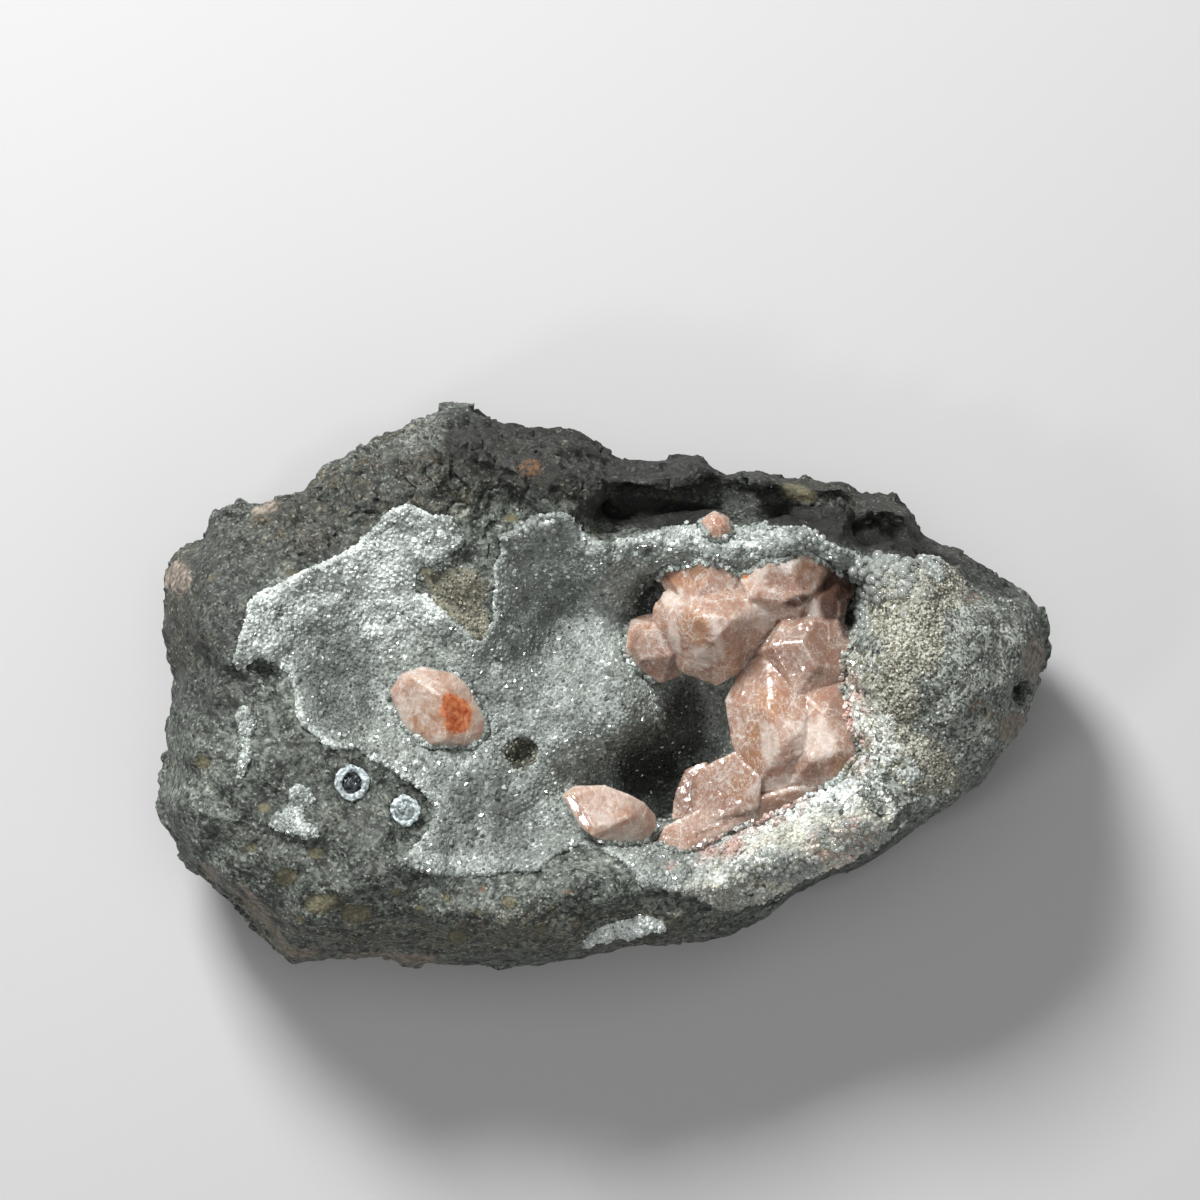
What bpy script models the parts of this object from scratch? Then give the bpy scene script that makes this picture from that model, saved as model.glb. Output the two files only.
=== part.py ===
"""A hand specimen of basalt whose hollow is lined with analcime and holds salmon gmelinite crystals.

The stone lies on its back with the hollow up: X runs along it, Y across it and Z up, and the origin is the
middle of the underside of its bounding box. Outlines and heights are in millimetres, and the meshes in metres.
"""

import math

import bmesh
import bpy
import numpy as np
from mathutils import Euler, Matrix, Vector, bvhtree, geometry, noise

MM = 0.001
GAP = 0.3  # clearance between pieces that lie against each other

# The stone
BELLY = 15.0  # height of its widest level
BELLY_SWAY = 3.5  # how far that level rises and falls around the stone
SHOULDER = 6.5  # width over which the front rounds down to the widest level
UNDERCUT = 13.0  # width over which the back rounds in to the underside
UNDERSIDE = -1.6  # height of the back before the flat is cut at zero
FRONT_LIMITS = (7.5, 38.0)
STONE_GRID = 1.15
STONE_VOXEL = 0.6
STONE_TRIANGLES = 4600

# The analcime
CRUST_THICKNESS = 1.1
CRUST_GRID = 1.9
CRUST_TRIANGLES = 2300  # for each millimetre of its thickness
CRYSTAL_RELIEF = 0.75  # how far the crystal points of the crust stand over the dips between them
CRUST_ROOT = 1.3  # how deep the crust reaches before the stone is cut out of it

# Outline of the stone as seen from above, clockwise from its left end.
STONE_OUTLINE = [
    (-50.2, -12.8), (-49.9, -10.2), (-49.0, -8.4), (-49.1, -5.1), (-48.5, -1.9), (-48.1, 1.8), (-48.9, 4.3),
    (-49.5, 6.9), (-48.9, 9.0), (-48.7, 11.2), (-48.3, 13.8), (-47.8, 15.2), (-46.8, 16.0), (-44.9, 16.1),
    (-44.5, 19.4), (-43.8, 20.3), (-41.7, 20.9), (-40.4, 21.4), (-39.3, 21.5), (-38.9, 20.5), (-36.9, 21.2),
    (-35.1, 22.0), (-33.3, 22.5), (-32.7, 23.4), (-31.1, 25.0), (-29.3, 25.9), (-27.5, 26.3), (-25.6, 27.4),
    (-23.4, 28.9), (-20.9, 30.2), (-18.7, 31.0), (-17.2, 31.6), (-14.7, 31.3), (-12.5, 30.5), (-9.6, 29.7),
    (-6.7, 29.1), (-4.1, 29.1), (-1.6, 28.3), (0.6, 27.1), (2.1, 25.8), (5.1, 25.3), (8.0, 25.5), (10.1, 26.1),
    (11.6, 26.1), (12.7, 24.8), (14.5, 24.4), (16.7, 24.7), (18.9, 24.5), (20.7, 23.7), (22.2, 23.1),
    (24.7, 23.3), (27.3, 23.2), (28.7, 22.6), (30.5, 21.9), (32.4, 21.1), (34.7, 20.5), (36.0, 19.3),
    (37.1, 17.5), (39.3, 16.4), (41.1, 15.7), (42.9, 14.2), (44.8, 12.6), (46.9, 11.3), (48.4, 10.2),
    (49.1, 8.6), (49.9, 6.7), (49.6, 5.3), (50.2, 4.0), (49.5, 2.7), (48.8, 0.2), (48.0, -2.7), (46.6, -5.6),
    (44.9, -7.4), (44.6, -8.5), (43.3, -10.7), (41.5, -11.6), (39.3, -13.1), (36.4, -15.1), (34.2, -16.9),
    (31.3, -18.9), (28.4, -20.6), (24.7, -22.0), (21.8, -23.3), (20.7, -24.6), (18.2, -25.8), (15.2, -27.3),
    (11.6, -28.2), (7.2, -28.9), (3.8, -29.1), (1.8, -30.0), (-1.5, -30.5), (-4.4, -30.8), (-7.0, -31.2),
    (-10.7, -31.1), (-14.3, -31.4), (-18.0, -31.6), (-21.6, -31.0), (-24.2, -30.0), (-27.1, -29.8),
    (-30.0, -30.0), (-32.2, -30.6), (-34.0, -30.8), (-35.8, -30.5), (-36.6, -29.0), (-38.0, -27.4),
    (-39.8, -25.5), (-41.7, -23.9), (-43.5, -22.6), (-45.3, -20.8), (-46.8, -19.7), (-48.2, -17.2),
    (-49.7, -15.0),
]

# Heights of the front at named places, as (x, y, height), like spot heights on a map.
SPOT_HEIGHTS = {
    "top edge": [
        (-43, 17.5, 25), (-38, 19, 28), (-30, 23, 29), (-20, 26.5, 30), (-15.5, 29, 29), (-9, 26.5, 32),
        (-1, 25, 33), (5.5, 23.5, 33), (11.5, 24, 32), (18, 22.5, 32), (26, 21, 31), (32.5, 19, 29.5),
        (37.5, 15.5, 28), (43, 12.5, 26.5), (47, 9.5, 25),
    ],
    "upper slope": [
        (-33.5, 16.5, 32), (-24.5, 22, 33), (-16.5, 24, 35), (-8, 23.5, 35.5), (-1, 22, 34.5), (-11, 21, 33.5),
    ],
    "tongue between the bowls": [(-14, 14.5, 31.5), (-12.5, 11.5, 31), (-14.5, 10, 29.5), (-12, 5.5, 28)],
    "groove under the top edge": [
        (0.5, 19.5, 27), (4.5, 20, 24.5), (11.5, 21, 24), (18, 20.5, 24), (24.5, 19.5, 24), (29.5, 17, 23.5),
        (36.5, 16, 24.5), (42, 13.5, 25),
    ],
    "lip of the hollow": [
        (-4.5, 19.5, 32), (0, 16, 31), (5.5, 16.5, 30.5), (12.5, 17.5, 31), (20, 17.5, 31), (26, 15.5, 30),
        (29, 14, 28.5), (33.5, 14, 30),
    ],
    "left edge": [
        (-47, 7.5, 27), (-45.5, -1.5, 29), (-46, -10.5, 28), (-43, 5.5, 31), (-41, 10, 32), (-40.5, -1.5, 32.5),
        (-40.5, -10.5, 32), (-43.5, -17, 28),
    ],
    "left bowl": [
        (-38, 7.5, 31.5), (-33.5, 12, 30.5), (-27, 15, 30.5), (-22.5, 19.5, 31.5), (-16.5, 17.5, 31),
        (-33.5, 4.5, 28), (-28, 7.5, 26.5), (-22.5, 12, 28), (-28, 0, 26), (-22.5, 4.5, 25.5), (-19, 7.5, 26.5),
        (-32.5, -1.5, 29), (-23.5, -3.5, 26), (-18, -1.5, 25.5), (-29, -5, 29), (-22.5, -8, 28.5),
    ],
    "centre bowl": [
        (-6.5, 17.5, 29), (-8, 13.5, 26.5), (-4.5, 10, 23.5), (-6, 5.5, 21), (-2, 7.5, 22.5), (0, 12, 27),
        (1, 5.5, 24),
    ],
    "floor of the hollow": [
        (-12.5, 1, 26.5), (-13.5, -8, 26), (-9, -1.5, 25.5), (-3.5, -1.5, 25.5), (2.5, 0, 26.5),
        (4.5, -3.5, 26), (0, -6, 24.5), (-6.5, -8, 25), (-11, -13.5, 25.5), (-14.5, -18, 28), (-6.5, -17, 26.5),
    ],
    "pocket": [
        (4.5, 10, 20), (5.5, 14.5, 27), (3.5, 5.5, 22), (7, -1.5, 19), (9, -6, 16), (0, -10.5, 17),
        (4.5, -9, 11), (9, -10.5, 9), (11.5, -8, 11), (5.5, -13.5, 12), (-1, -16.5, 27), (2.5, -18, 28),
        (7, -17.5, 24), (10, -18, 25), (13.5, 7.5, 22), (18, -1.5, 20), (20, 7.5, 18), (13.5, -12.5, 19),
        (27.5, 10.5, 13), (28, 7.5, 16), (26.5, 13.5, 20),
    ],
    "right rim of the hollow": [
        (29.5, 5.5, 29), (28, -1.5, 29), (30.5, -8, 30), (27, -12.5, 29.5), (20, -16, 28), (14.5, -18, 27.5),
        (33.5, 10, 32), (31.5, 12, 31),
    ],
    "right end": [
        (37, 7.5, 33), (39.5, 1, 33.5), (36, -6, 32.5), (42.5, 5.5, 31.5), (43.5, -1.5, 30.5), (46, 4.5, 28.5),
        (41.5, -6, 30), (33.5, -12.5, 30.5), (38, -11.5, 28), (28, -17, 28.5), (20, -20.5, 27.5),
        (11.5, -21.5, 28.5), (15.5, -23.5, 26.5),
    ],
    "bottom edge": [
        (-4.5, -21.5, 31.5), (0, -20.5, 31.5), (4.5, -25, 29), (-11, -23.5, 31), (-18, -23.5, 31),
        (-24.5, -21.5, 32), (0, -27, 27), (-9, -28, 27.5), (-20, -28, 27.5), (-29, -27, 28),
    ],
    "plate with vesicles": [
        (-33.5, -8, 32.5), (-28, -12.5, 32.5), (-22.5, -14.5, 31.5), (-31.5, -16, 32.5), (-36, -18, 31.5),
        (-33.5, -23.5, 29.5), (-20, -18, 31),
    ],
}

# Hollows that run back under their edges, as (centre, radii).
GROOVE_HOLLOWS = [
    ((4.5, 21.0, 25.2), (6.5, 2.2, 2.9)), ((13.5, 21.5, 24.4), (7.5, 2.1, 3.1)),
    ((23.5, 20.4, 24.2), (7.0, 2.1, 3.0)), ((32.0, 17.5, 23.9), (5.5, 2.0, 2.7)),
    ((39.0, 14.8, 24.0), (4.5, 1.7, 2.1)),
]
POCKET_HOLLOWS = [
    ((9.5, -13.0, 12.5), (6.5, 4.6, 4.6)), ((30.0, 9.6, 15.5), (5.0, 3.8, 5.5)),
    ((6.0, 9.0, 19.0), (3.0, 3.6, 4.0)),
]
SMALL_PITS = [  # (x, y, radius) of small holes in the front
    (47.0, -0.4, 0.9), (-27.4, -10.3, 1.95), (-21.7, -13.4, 1.75), (-8.7, -7.2, 1.5),
]
# Gas holes in the sides and back, as (turn about the stone in degrees, height, radius).
SIDE_PITS = [
    (12, 12, 1.6), (35, 19, 1.2), (58, 9, 2.1), (83, 16, 1.3), (104, 11, 1.7), (127, 20, 1.4), (149, 13, 2.2),
    (171, 8, 1.3), (196, 18, 1.8), (214, 11, 1.4), (239, 15, 2.0), (262, 9, 1.5), (281, 18, 1.2),
    (304, 12, 1.9), (331, 17, 1.4), (348, 8, 1.7),
]

# Where the crust leaves the stone bare, as (centre, radii).
CRUST_HOLES = [((-8.7, -7.2, 26.0), (1.9, 1.8, 4.0)), ((-18.6, -6.6, 27.0), (0.7, 0.5, 2.0))]

# Outlines of the analcime as seen from above.
CRUST_OUTLINE = [
    (-41.0, 3.2), (-40.6, 5.0), (-39.6, 7.6), (-39.3, 9.8), (-38.0, 11.2), (-35.1, 12.7), (-32.2, 14.0),
    (-29.3, 15.2), (-27.1, 16.7), (-25.4, 18.0), (-24.3, 19.6), (-22.3, 20.9), (-20.5, 21.1), (-18.7, 20.3),
    (-16.5, 19.6), (-15.1, 18.1), (-14.5, 16.3), (-15.8, 14.7), (-17.6, 13.4), (-19.6, 12.1), (-18.3, 10.3),
    (-16.5, 8.7), (-14.5, 7.1), (-12.9, 6.3), (-12.3, 7.7), (-12.4, 9.9), (-12.2, 13.8), (-11.4, 15.6),
    (-11.2, 17.1), (-9.6, 18.1), (-7.8, 19.6), (-5.9, 20.1), (-4.4, 20.0), (-2.8, 19.5), (-1.9, 17.9),
    (0.3, 16.9), (2.9, 17.1), (5.1, 18.0), (8.0, 18.8), (10.9, 18.8), (12.7, 19.2), (14.9, 18.7), (18.2, 19.0),
    (22.5, 18.8), (24.4, 17.5), (26.9, 16.2), (28.9, 15.5), (29.8, 15.1), (32.0, 15.7), (33.8, 15.1),
    (35.6, 15.4), (37.5, 14.8), (38.9, 14.0), (38.9, 12.2), (37.0, 9.9), (34.2, 7.1), (32.9, 3.7),
    (32.5, -0.2), (33.2, -3.5), (34.2, -6.3), (36.5, -8.6), (39.3, -9.4), (40.4, -10.8), (39.0, -12.2),
    (36.3, -14.1), (33.8, -15.9), (31.0, -17.8), (28.1, -19.5), (24.5, -21.1), (22.2, -22.1), (20.5, -23.2),
    (18.6, -24.3), (16.0, -25.0), (13.0, -25.0), (12.0, -24.2), (9.4, -23.1), (6.5, -22.7), (4.3, -22.4),
    (3.4, -20.9), (2.1, -19.3), (0.3, -18.4), (-2.2, -17.8), (-4.1, -18.6), (-5.6, -19.7), (-7.4, -20.8),
    (-9.6, -20.6), (-11.4, -21.0), (-14.0, -21.2), (-16.2, -21.5), (-17.6, -21.2), (-19.8, -20.6),
    (-22.3, -19.7), (-24.2, -18.6), (-22.0, -17.9), (-20.5, -16.4), (-19.1, -15.0), (-18.9, -13.2),
    (-20.2, -11.7), (-22.3, -10.2), (-24.9, -8.6), (-26.4, -7.3), (-28.5, -7.0), (-30.0, -7.1), (-31.4, -5.9),
    (-33.3, -4.4), (-34.2, -1.9), (-34.7, 1.1), (-36.0, 2.3), (-37.8, 3.0), (-38.6, 2.3), (-37.1, 0.9),
    (-35.4, -0.4), (-35.6, -1.1), (-36.9, -0.5), (-38.0, 0.8), (-39.5, 1.8), (-40.6, 2.1),
]
PATCH_OUTLINES = {
    "analcime_patch_at_lower_edge": [
        (-2.6, -29.0), (-2.1, -28.0), (-1.3, -26.9), (1.4, -25.6), (4.7, -24.9), (6.9, -25.5), (8.1, -26.6),
        (6.8, -27.2), (4.7, -27.3), (1.0, -28.2),
    ],
    "analcime_patch_by_vesicles": [
        (-37.1, -15.0), (-36.5, -13.8), (-35.2, -13.2), (-34.4, -12.3), (-34.0, -10.8), (-33.0, -10.3),
        (-31.8, -10.6), (-31.4, -11.7), (-31.8, -12.8), (-32.6, -13.4), (-32.3, -14.5), (-31.3, -15.3),
        (-30.3, -15.6), (-31.1, -16.3), (-33.0, -16.2), (-34.7, -16.0), (-36.0, -15.4),
    ],
    "analcime_streak_at_left": [
        (-40.0, -2.0), (-39.5, -1.5), (-38.6, -2.0), (-37.9, -3.1), (-37.8, -4.7), (-38.5, -6.0),
        (-38.9, -7.8), (-39.4, -9.8), (-39.9, -10.4), (-39.9, -8.9), (-39.5, -7.1), (-39.7, -5.3),
        (-40.3, -3.8),
    ],
}
VESICLE_RINGS = {  # (x, y, outer radius, inner radius) of the analcime that lines two vesicles
    "vesicle_lining_upper": (-27.4, -10.3, 1.95, 1.35),
    "vesicle_lining_lower": (-21.7, -13.4, 1.75, 1.05),
}

# Whole gmelinite crystals: centre, direction of the c axis, radius, half length, cap radius, turn in degrees.
CLUSTER_WHOLE = [
    ((12.2, 12.4, 26.3), (0.2, 0.5, 0.85), 5.4, 4.8, 1.2, 20),
    ((19.8, 12.8, 26.6), (0.1, 0.65, 0.85), 5.6, 4.4, 2.4, 0),
    ((24.6, 12.4, 22.4), (0.3, 0.3, 0.8), 4.0, 3.8, 1.8, 15),
    ((23.6, 8.4, 24.4), (0.15, 0.75, 0.65), 4.0, 4.2, 2.2, 25),
    ((6.2, 4.6, 24.2), (-0.7, -0.25, 0.6), 3.8, 3.4, 1.4, 10),
    ((22.9, 3.8, 25.2), (0.45, 0.25, 0.9), 5.7, 5.0, 3.0, 0),
    ((22.8, -9.0, 24.6), (0.1, -0.4, 0.9), 4.4, 4.2, 2.4, 22),
]
# Crystals with uneven faces, by their corners. The first is the foremost one.
CLUSTER_UNEVEN = [
    [
        (11.5, 8.1, 33.2), (14.6, 7.9, 32.8), (12.6, 5.6, 32.4), (6.0, 9.1, 27.2), (7.1, 10.6, 27.6),
        (9.3, 11.5, 28.4), (14.6, 11.8, 29.0), (18.8, 10.2, 28.4), (20.1, 8.4, 27.6), (19.1, 6.2, 27.0),
        (15.2, 1.8, 26.8), (12.9, 0.5, 26.6), (9.0, 2.0, 26.2), (6.8, 4.6, 26.6), (5.9, 6.8, 26.8),
        (9.0, 8.5, 21.5), (14.0, 10.0, 21.5), (16.5, 7.0, 21.0), (12.5, 3.5, 21.0),
    ],
    [
        (18.6, -2.2, 31.0), (19.8, -6.2, 31.4), (22.0, -4.4, 31.6), (14.0, -1.2, 26.2), (14.6, -5.0, 26.4),
        (16.6, -12.2, 26.8), (21.2, -11.6, 28.2), (24.0, -6.5, 30.2), (23.4, -0.6, 29.2), (21.0, 3.4, 28.2),
        (18.6, 4.6, 27.4), (16.2, 2.8, 26.6), (16.0, -2.0, 19.5), (17.5, -9.0, 19.5), (23.0, -7.0, 19.0),
        (21.5, 0.0, 19.0),
    ],
    [
        (24.6, -2.6, 31.4), (23.2, -7.8, 31.6), (26.4, -6.6, 31.4), (20.8, -10.8, 28.6), (26.6, -10.6, 29.2),
        (29.2, -7.0, 29.4), (28.6, -3.2, 29.4), (26.8, 0.6, 28.8), (22.4, -0.4, 29.4), (22.0, -8.0, 20.0),
        (26.5, -8.5, 21.0), (26.5, -1.5, 20.5), (22.5, -2.0, 20.0),
    ],
    [
        (10.3, -10.5, 26.6), (11.2, -9.0, 26.8), (14.9, -7.0, 28.0), (17.8, -9.8, 29.4), (17.4, -13.0, 28.8),
        (14.8, -13.6, 28.2), (11.2, -14.9, 27.0), (10.2, -12.8, 26.6), (11.4, -10.2, 18.5), (15.5, -8.4, 18.0),
        (17.0, -12.6, 19.0), (11.6, -14.0, 19.5),
    ],
    [
        (8.1, -14.4, 23.8), (8.6, -11.6, 23.4), (9.6, -9.2, 23.0), (11.8, -8.2, 23.2), (12.6, -12.0, 24.4),
        (10.6, -14.8, 24.6), (9.4, -13.6, 18.0), (10.0, -9.8, 17.5), (12.4, -9.4, 17.5), (12.0, -13.6, 18.0),
    ],
    [
        (5.9, -17.9, 25.6), (7.3, -15.3, 26.2), (10.4, -13.8, 27.0), (13.4, -13.0, 27.6), (17.4, -12.0, 28.2),
        (17.6, -13.8, 27.8), (13.0, -16.1, 27.2), (9.0, -18.4, 26.4), (7.2, -18.9, 25.6), (7.0, -17.6, 20.5),
        (8.4, -15.8, 19.5), (16.5, -13.0, 20.5), (12.5, -15.4, 20.5),
    ],
    [
        (13.4, -14.8, 27.4), (16.5, -12.2, 28.4), (21.0, -11.0, 29.0), (27.2, -10.0, 29.0), (27.4, -11.2, 27.8),
        (21.5, -12.9, 27.6), (16.4, -14.9, 27.2), (14.0, -15.6, 26.8), (14.5, -13.8, 21.0), (26.0, -10.0, 21.5),
        (20.0, -11.5, 20.0),
    ],
]
SINGLES_UNEVEN = {
    "gmelinite_crystal_left": [
        (-20.8, 1.4, 30.4), (-17.6, -0.6, 31.4), (-17.0, -5.4, 29.6), (-23.1, -0.2, 28.0), (-21.9, 1.6, 28.6),
        (-19.6, 2.4, 28.8), (-16.2, 1.6, 28.8), (-14.8, 0.5, 28.6), (-13.0, -2.9, 27.8), (-12.5, -4.7, 27.2),
        (-12.9, -5.7, 26.8), (-14.1, -6.3, 26.8), (-19.9, -6.3, 27.4), (-21.6, -4.1, 27.8), (-22.6, -1.7, 28.0),
        (-21.0, 0.2, 24.2), (-16.0, 0.0, 24.0), (-14.4, -4.2, 23.6), (-18.8, -4.8, 23.8), (-20.6, -2.6, 24.0),
    ],
    "gmelinite_crystal_lower": [
        (-4.0, -11.7, 30.6), (-2.8, -11.5, 31.0), (-0.7, -15.3, 31.0), (-0.8, -16.0, 30.8), (-2.1, -15.0, 30.6),
        (-2.8, -10.8, 30.0), (0.4, -10.7, 30.2), (3.1, -11.7, 29.8), (4.8, -12.6, 28.8), (6.0, -14.0, 27.4),
        (6.0, -15.3, 27.0), (5.1, -16.7, 27.0), (3.6, -17.4, 27.4), (2.0, -17.3, 27.8), (-0.3, -16.5, 28.6),
        (3.4, -14.0, 30.4), (-2.4, -12.8, 25.4), (0.5, -12.5, 24.0), (4.2, -13.6, 23.8), (3.4, -15.8, 24.0),
        (0.2, -15.0, 24.6),
    ],
}
CRYSTAL_AT_TOP = ((12.8, 17.9, 30.9), (0.2, 0.5, 0.9), 1.6, 1.4, 0.6, 0)
PYRAMID_SLOPE = 0.84  # rise of a gmelinite pyramid face for each unit inwards

COLOURS = {  # base colour, roughness
    "basalt": ((0.10, 0.10, 0.095), 0.85),
    "analcime": ((0.50, 0.54, 0.50), 0.35),
    "gmelinite": ((0.76, 0.46, 0.35), 0.25),
}


def material(kind):
    """The Principled material of one mineral."""
    found = bpy.data.materials.get(kind)
    if found:
        return found
    made = bpy.data.materials.new(kind)
    made.use_nodes = True
    shader = made.node_tree.nodes["Principled BSDF"]
    colour, roughness = COLOURS[kind]
    shader.inputs["Base Color"].default_value = (*colour, 1.0)
    shader.inputs["Roughness"].default_value = roughness
    shader.inputs["Metallic"].default_value = 0.0
    return made


def add_object(name, mesh, kind=None):
    """A new object in the scene. One with no material is a cutter, which isn't part of the specimen."""
    made = bpy.data.objects.new(name, mesh)
    bpy.context.scene.collection.objects.link(made)
    if kind:
        mesh.materials.append(material(kind))
    else:
        made.hide_render = True
        made.display_type = "WIRE"
    return made


def mesh_from_bmesh(name, shape):
    mesh = bpy.data.meshes.new(name)
    shape.to_mesh(mesh)
    shape.free()
    return mesh


def edge_distance(outline, points):
    """Distance of each point to the outline, in the plane."""
    start = np.asarray(outline, float)
    along = np.roll(start, -1, axis=0) - start
    to_point = points[:, None] - start
    share = np.clip((to_point * along).sum(-1) / (along**2).sum(-1), 0, 1)
    return np.linalg.norm(to_point - share[..., None] * along, axis=-1).min(axis=1)


def is_inside(outline, points):
    """Whether each point is inside the outline, by counting the edges to its right."""
    start = np.asarray(outline, float)
    end = np.roll(start, -1, axis=0)
    x, y = points[:, 0, None], points[:, 1, None]
    spans = (start[:, 1] > y) != (end[:, 1] > y)
    rise = np.where(end[:, 1] == start[:, 1], 1.0, end[:, 1] - start[:, 1])
    crossing = start[:, 0] + (y - start[:, 1]) * (end[:, 0] - start[:, 0]) / rise
    return (spans & (x < crossing)).sum(axis=1) % 2 == 1


def thin_plate(spots):
    """The smoothest surface through the spot heights, as a function of points in the plane."""
    spots = np.array(spots, float)
    places, heights = spots[:, :2], spots[:, 2]

    def kernel(a, b):
        square = ((a[:, None] - b) ** 2).sum(-1)
        return 0.5 * square * np.log(square + 1e-9)

    flat = np.column_stack([np.ones(len(places)), places])
    system = np.block([[kernel(places, places), flat], [flat.T, np.zeros((3, 3))]])
    weights = np.linalg.solve(system, np.concatenate([heights, np.zeros(3)]))
    return lambda points: kernel(points, places) @ weights[:-3] + weights[-3] + points @ weights[-2:]


PLATE = thin_plate([spot for group in SPOT_HEIGHTS.values() for spot in group])


def rough(points, wavelength, octaves, seed):
    """Fractal noise of about -1 to 1 at points in millimetres."""
    shift = Vector((seed * 17.3, seed * -9.1, seed * 5.7))
    return np.array([
        noise.fractal(Vector(point) / wavelength + shift, 0.9, 2.1, octaves) for point in points
    ])


def in_space(points, height=0.0):
    return np.column_stack([points, np.full(len(points), height)])


def rounded(distance, width):
    """A quarter circle: 0 at the edge and 1 from that width inwards."""
    return np.sqrt(1 - (1 - np.clip(distance / width, 0, 1)) ** 2)


def belly_height(points):
    return BELLY + BELLY_SWAY * rough(in_space(points), 30, 2, 1)


def front_height(points):
    """Height of the stone's front, which rounds down to the widest level at the outline."""
    belly = belly_height(points)
    plate = np.clip(PLATE(points), *FRONT_LIMITS)
    width = SHOULDER * (1 + 0.35 * rough(in_space(points), 12, 2, 2))
    return belly + (plate - belly) * rounded(edge_distance(STONE_OUTLINE, points), width)


def back_height(points):
    """Height of the stone's back: broken facets that round up to the widest level."""
    belly = belly_height(points)
    x, y = points[:, 0], points[:, 1]
    facets = [
        0.30 * (x - 22), 0.42 * (y - 9), -0.34 * (x + 28), -0.45 * (y + 13), 0.25 * (x + y - 33),
        0.28 * (y - x - 36), 0 * x,
    ]
    depth = UNDERSIDE + np.max(facets, axis=0) + 1.1 * rough(in_space(points), 14, 3, 3)
    width = UNDERCUT * (1 + 0.3 * rough(in_space(points), 16, 2, 4))
    return belly + (depth - belly) * rounded(edge_distance(STONE_OUTLINE, points), width)


def resampled(outline, spacing):
    """The outline with its long sides divided, so that no two points are further apart than the spacing."""
    points = []
    for start, end in zip(outline, outline[1:] + outline[:1]):
        steps = max(1, round(math.dist(start, end) / spacing))
        for step in range(steps):
            points.append(Vector(start).lerp(Vector(end), step / steps))
    return np.array(points)


def inner_chords(faces, on_edge):
    """Edges that run from one point of the outline to another across the inside."""
    seen = set()
    shared = set()
    for a, b, c in faces:
        for side in ((a, b), (b, c), (c, a)):
            pair = tuple(sorted(side))
            if pair in seen:
                shared.add(pair)
            seen.add(pair)
    return sorted(pair for pair in shared if on_edge[pair[0]] and on_edge[pair[1]])


def slab(name, outline, top, bottom, edge, spacing, rings):
    """A closed solid between two height functions over an outline. Its edge is at a height of its own."""
    border = resampled(outline, spacing)
    away = np.roll(border, -1, axis=0) - np.roll(border, 1, axis=0)
    inwards = np.column_stack([away[:, 1], -away[:, 0]]) / np.linalg.norm(away, axis=1)[:, None]
    loose = []
    for inset in rings:
        ring = border + inwards * inset
        loose.append(ring[is_inside(outline, ring) & (edge_distance(outline, ring) > 0.85 * inset)])
    low, high = border.min(axis=0), border.max(axis=0)
    rows = np.arange(low[1], high[1], spacing * math.sqrt(0.75))
    grid = np.array([
        (x + spacing / 2 * (row % 2), y) for row, y in enumerate(rows) for x in np.arange(low[0], high[0], spacing)
    ])
    grid += np.random.RandomState(5).uniform(-0.22, 0.22, grid.shape) * spacing
    grid = grid[is_inside(outline, grid)]
    loose.append(grid[edge_distance(outline, grid) > rings[-1] + 0.6 * spacing])
    points = np.concatenate([border, *loose])
    sides = [(i, (i + 1) % len(border)) for i in range(len(border))]
    chords = [None]
    while chords:
        plane, _, faces, *_ = geometry.delaunay_2d_cdt([Vector(p) for p in points], sides, [], 1, 1e-5)
        plane = np.array(plane)
        on_edge = edge_distance(outline, plane) < 1e-3
        chords = inner_chords(faces, on_edge)
        if chords:
            points = np.concatenate([points, [(plane[a] + plane[b]) / 2 for a, b in chords]])
    upper = np.where(on_edge, edge(plane), top(plane))
    lower = np.where(on_edge, edge(plane), bottom(plane))
    shape = bmesh.new()
    above = [shape.verts.new((*p, z)) for p, z in zip(plane * MM, upper * MM)]
    below = [
        corner if shared else shape.verts.new((*place, z))
        for corner, shared, place, z in zip(above, on_edge, plane * MM, lower * MM)
    ]
    for a, b, c in faces:
        shape.faces.new((above[a], above[b], above[c]))
        shape.faces.new((below[c], below[b], below[a]))
    bmesh.ops.recalc_face_normals(shape, faces=shape.faces)
    return mesh_from_bmesh(name, shape)


def roughen(mesh, layers, steady=None):
    """Moves the points of a mesh along their normals by layers of noise, (amount, wavelength, octaves, seed)."""
    places = np.array([v.co for v in mesh.vertices]) / MM
    share = np.ones(len(places)) if steady is None else steady(places)
    move = sum(amount * rough(places, wavelength, octaves, seed) for amount, wavelength, octaves, seed in layers)
    for vertex, distance in zip(mesh.vertices, move * share * MM):
        vertex.co += vertex.normal * distance


def ellipsoid(name, centre, radii, detail=3):
    """A cutter of lumpy ellipsoid form, with its centre and radii in millimetres."""
    shape = bmesh.new()
    bmesh.ops.create_icosphere(shape, subdivisions=detail, radius=1.0)
    for vertex in shape.verts:
        swell = 1 + 0.16 * noise.noise(vertex.co * 1.7 + Vector(centre))
        vertex.co = Vector(centre) * MM + Vector(c * r * swell * MM for c, r in zip(vertex.co, radii))
    return add_object(name, mesh_from_bmesh(name, shape))


def corners_of(centre, axis, radius, half_length, cap, turn):
    """Corners of a gmelinite crystal: a hexagonal double pyramid with a short prism and blunt ends."""
    shoulder = max(0.35, half_length - (radius - cap) * PYRAMID_SLOPE)
    profile = [(half_length, cap), (shoulder, radius), (-shoulder, radius), (-half_length, cap)]
    lie = Vector(axis).to_track_quat("Z", "Y").to_matrix() @ Euler((0, 0, math.radians(turn))).to_matrix()
    sixths = [(math.cos(k * math.pi / 3), math.sin(k * math.pi / 3)) for k in range(6)]
    return [
        Vector(centre) + lie @ Vector((across * cos, across * sin, along))
        for along, across in profile
        for cos, sin in sixths
    ]


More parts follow.
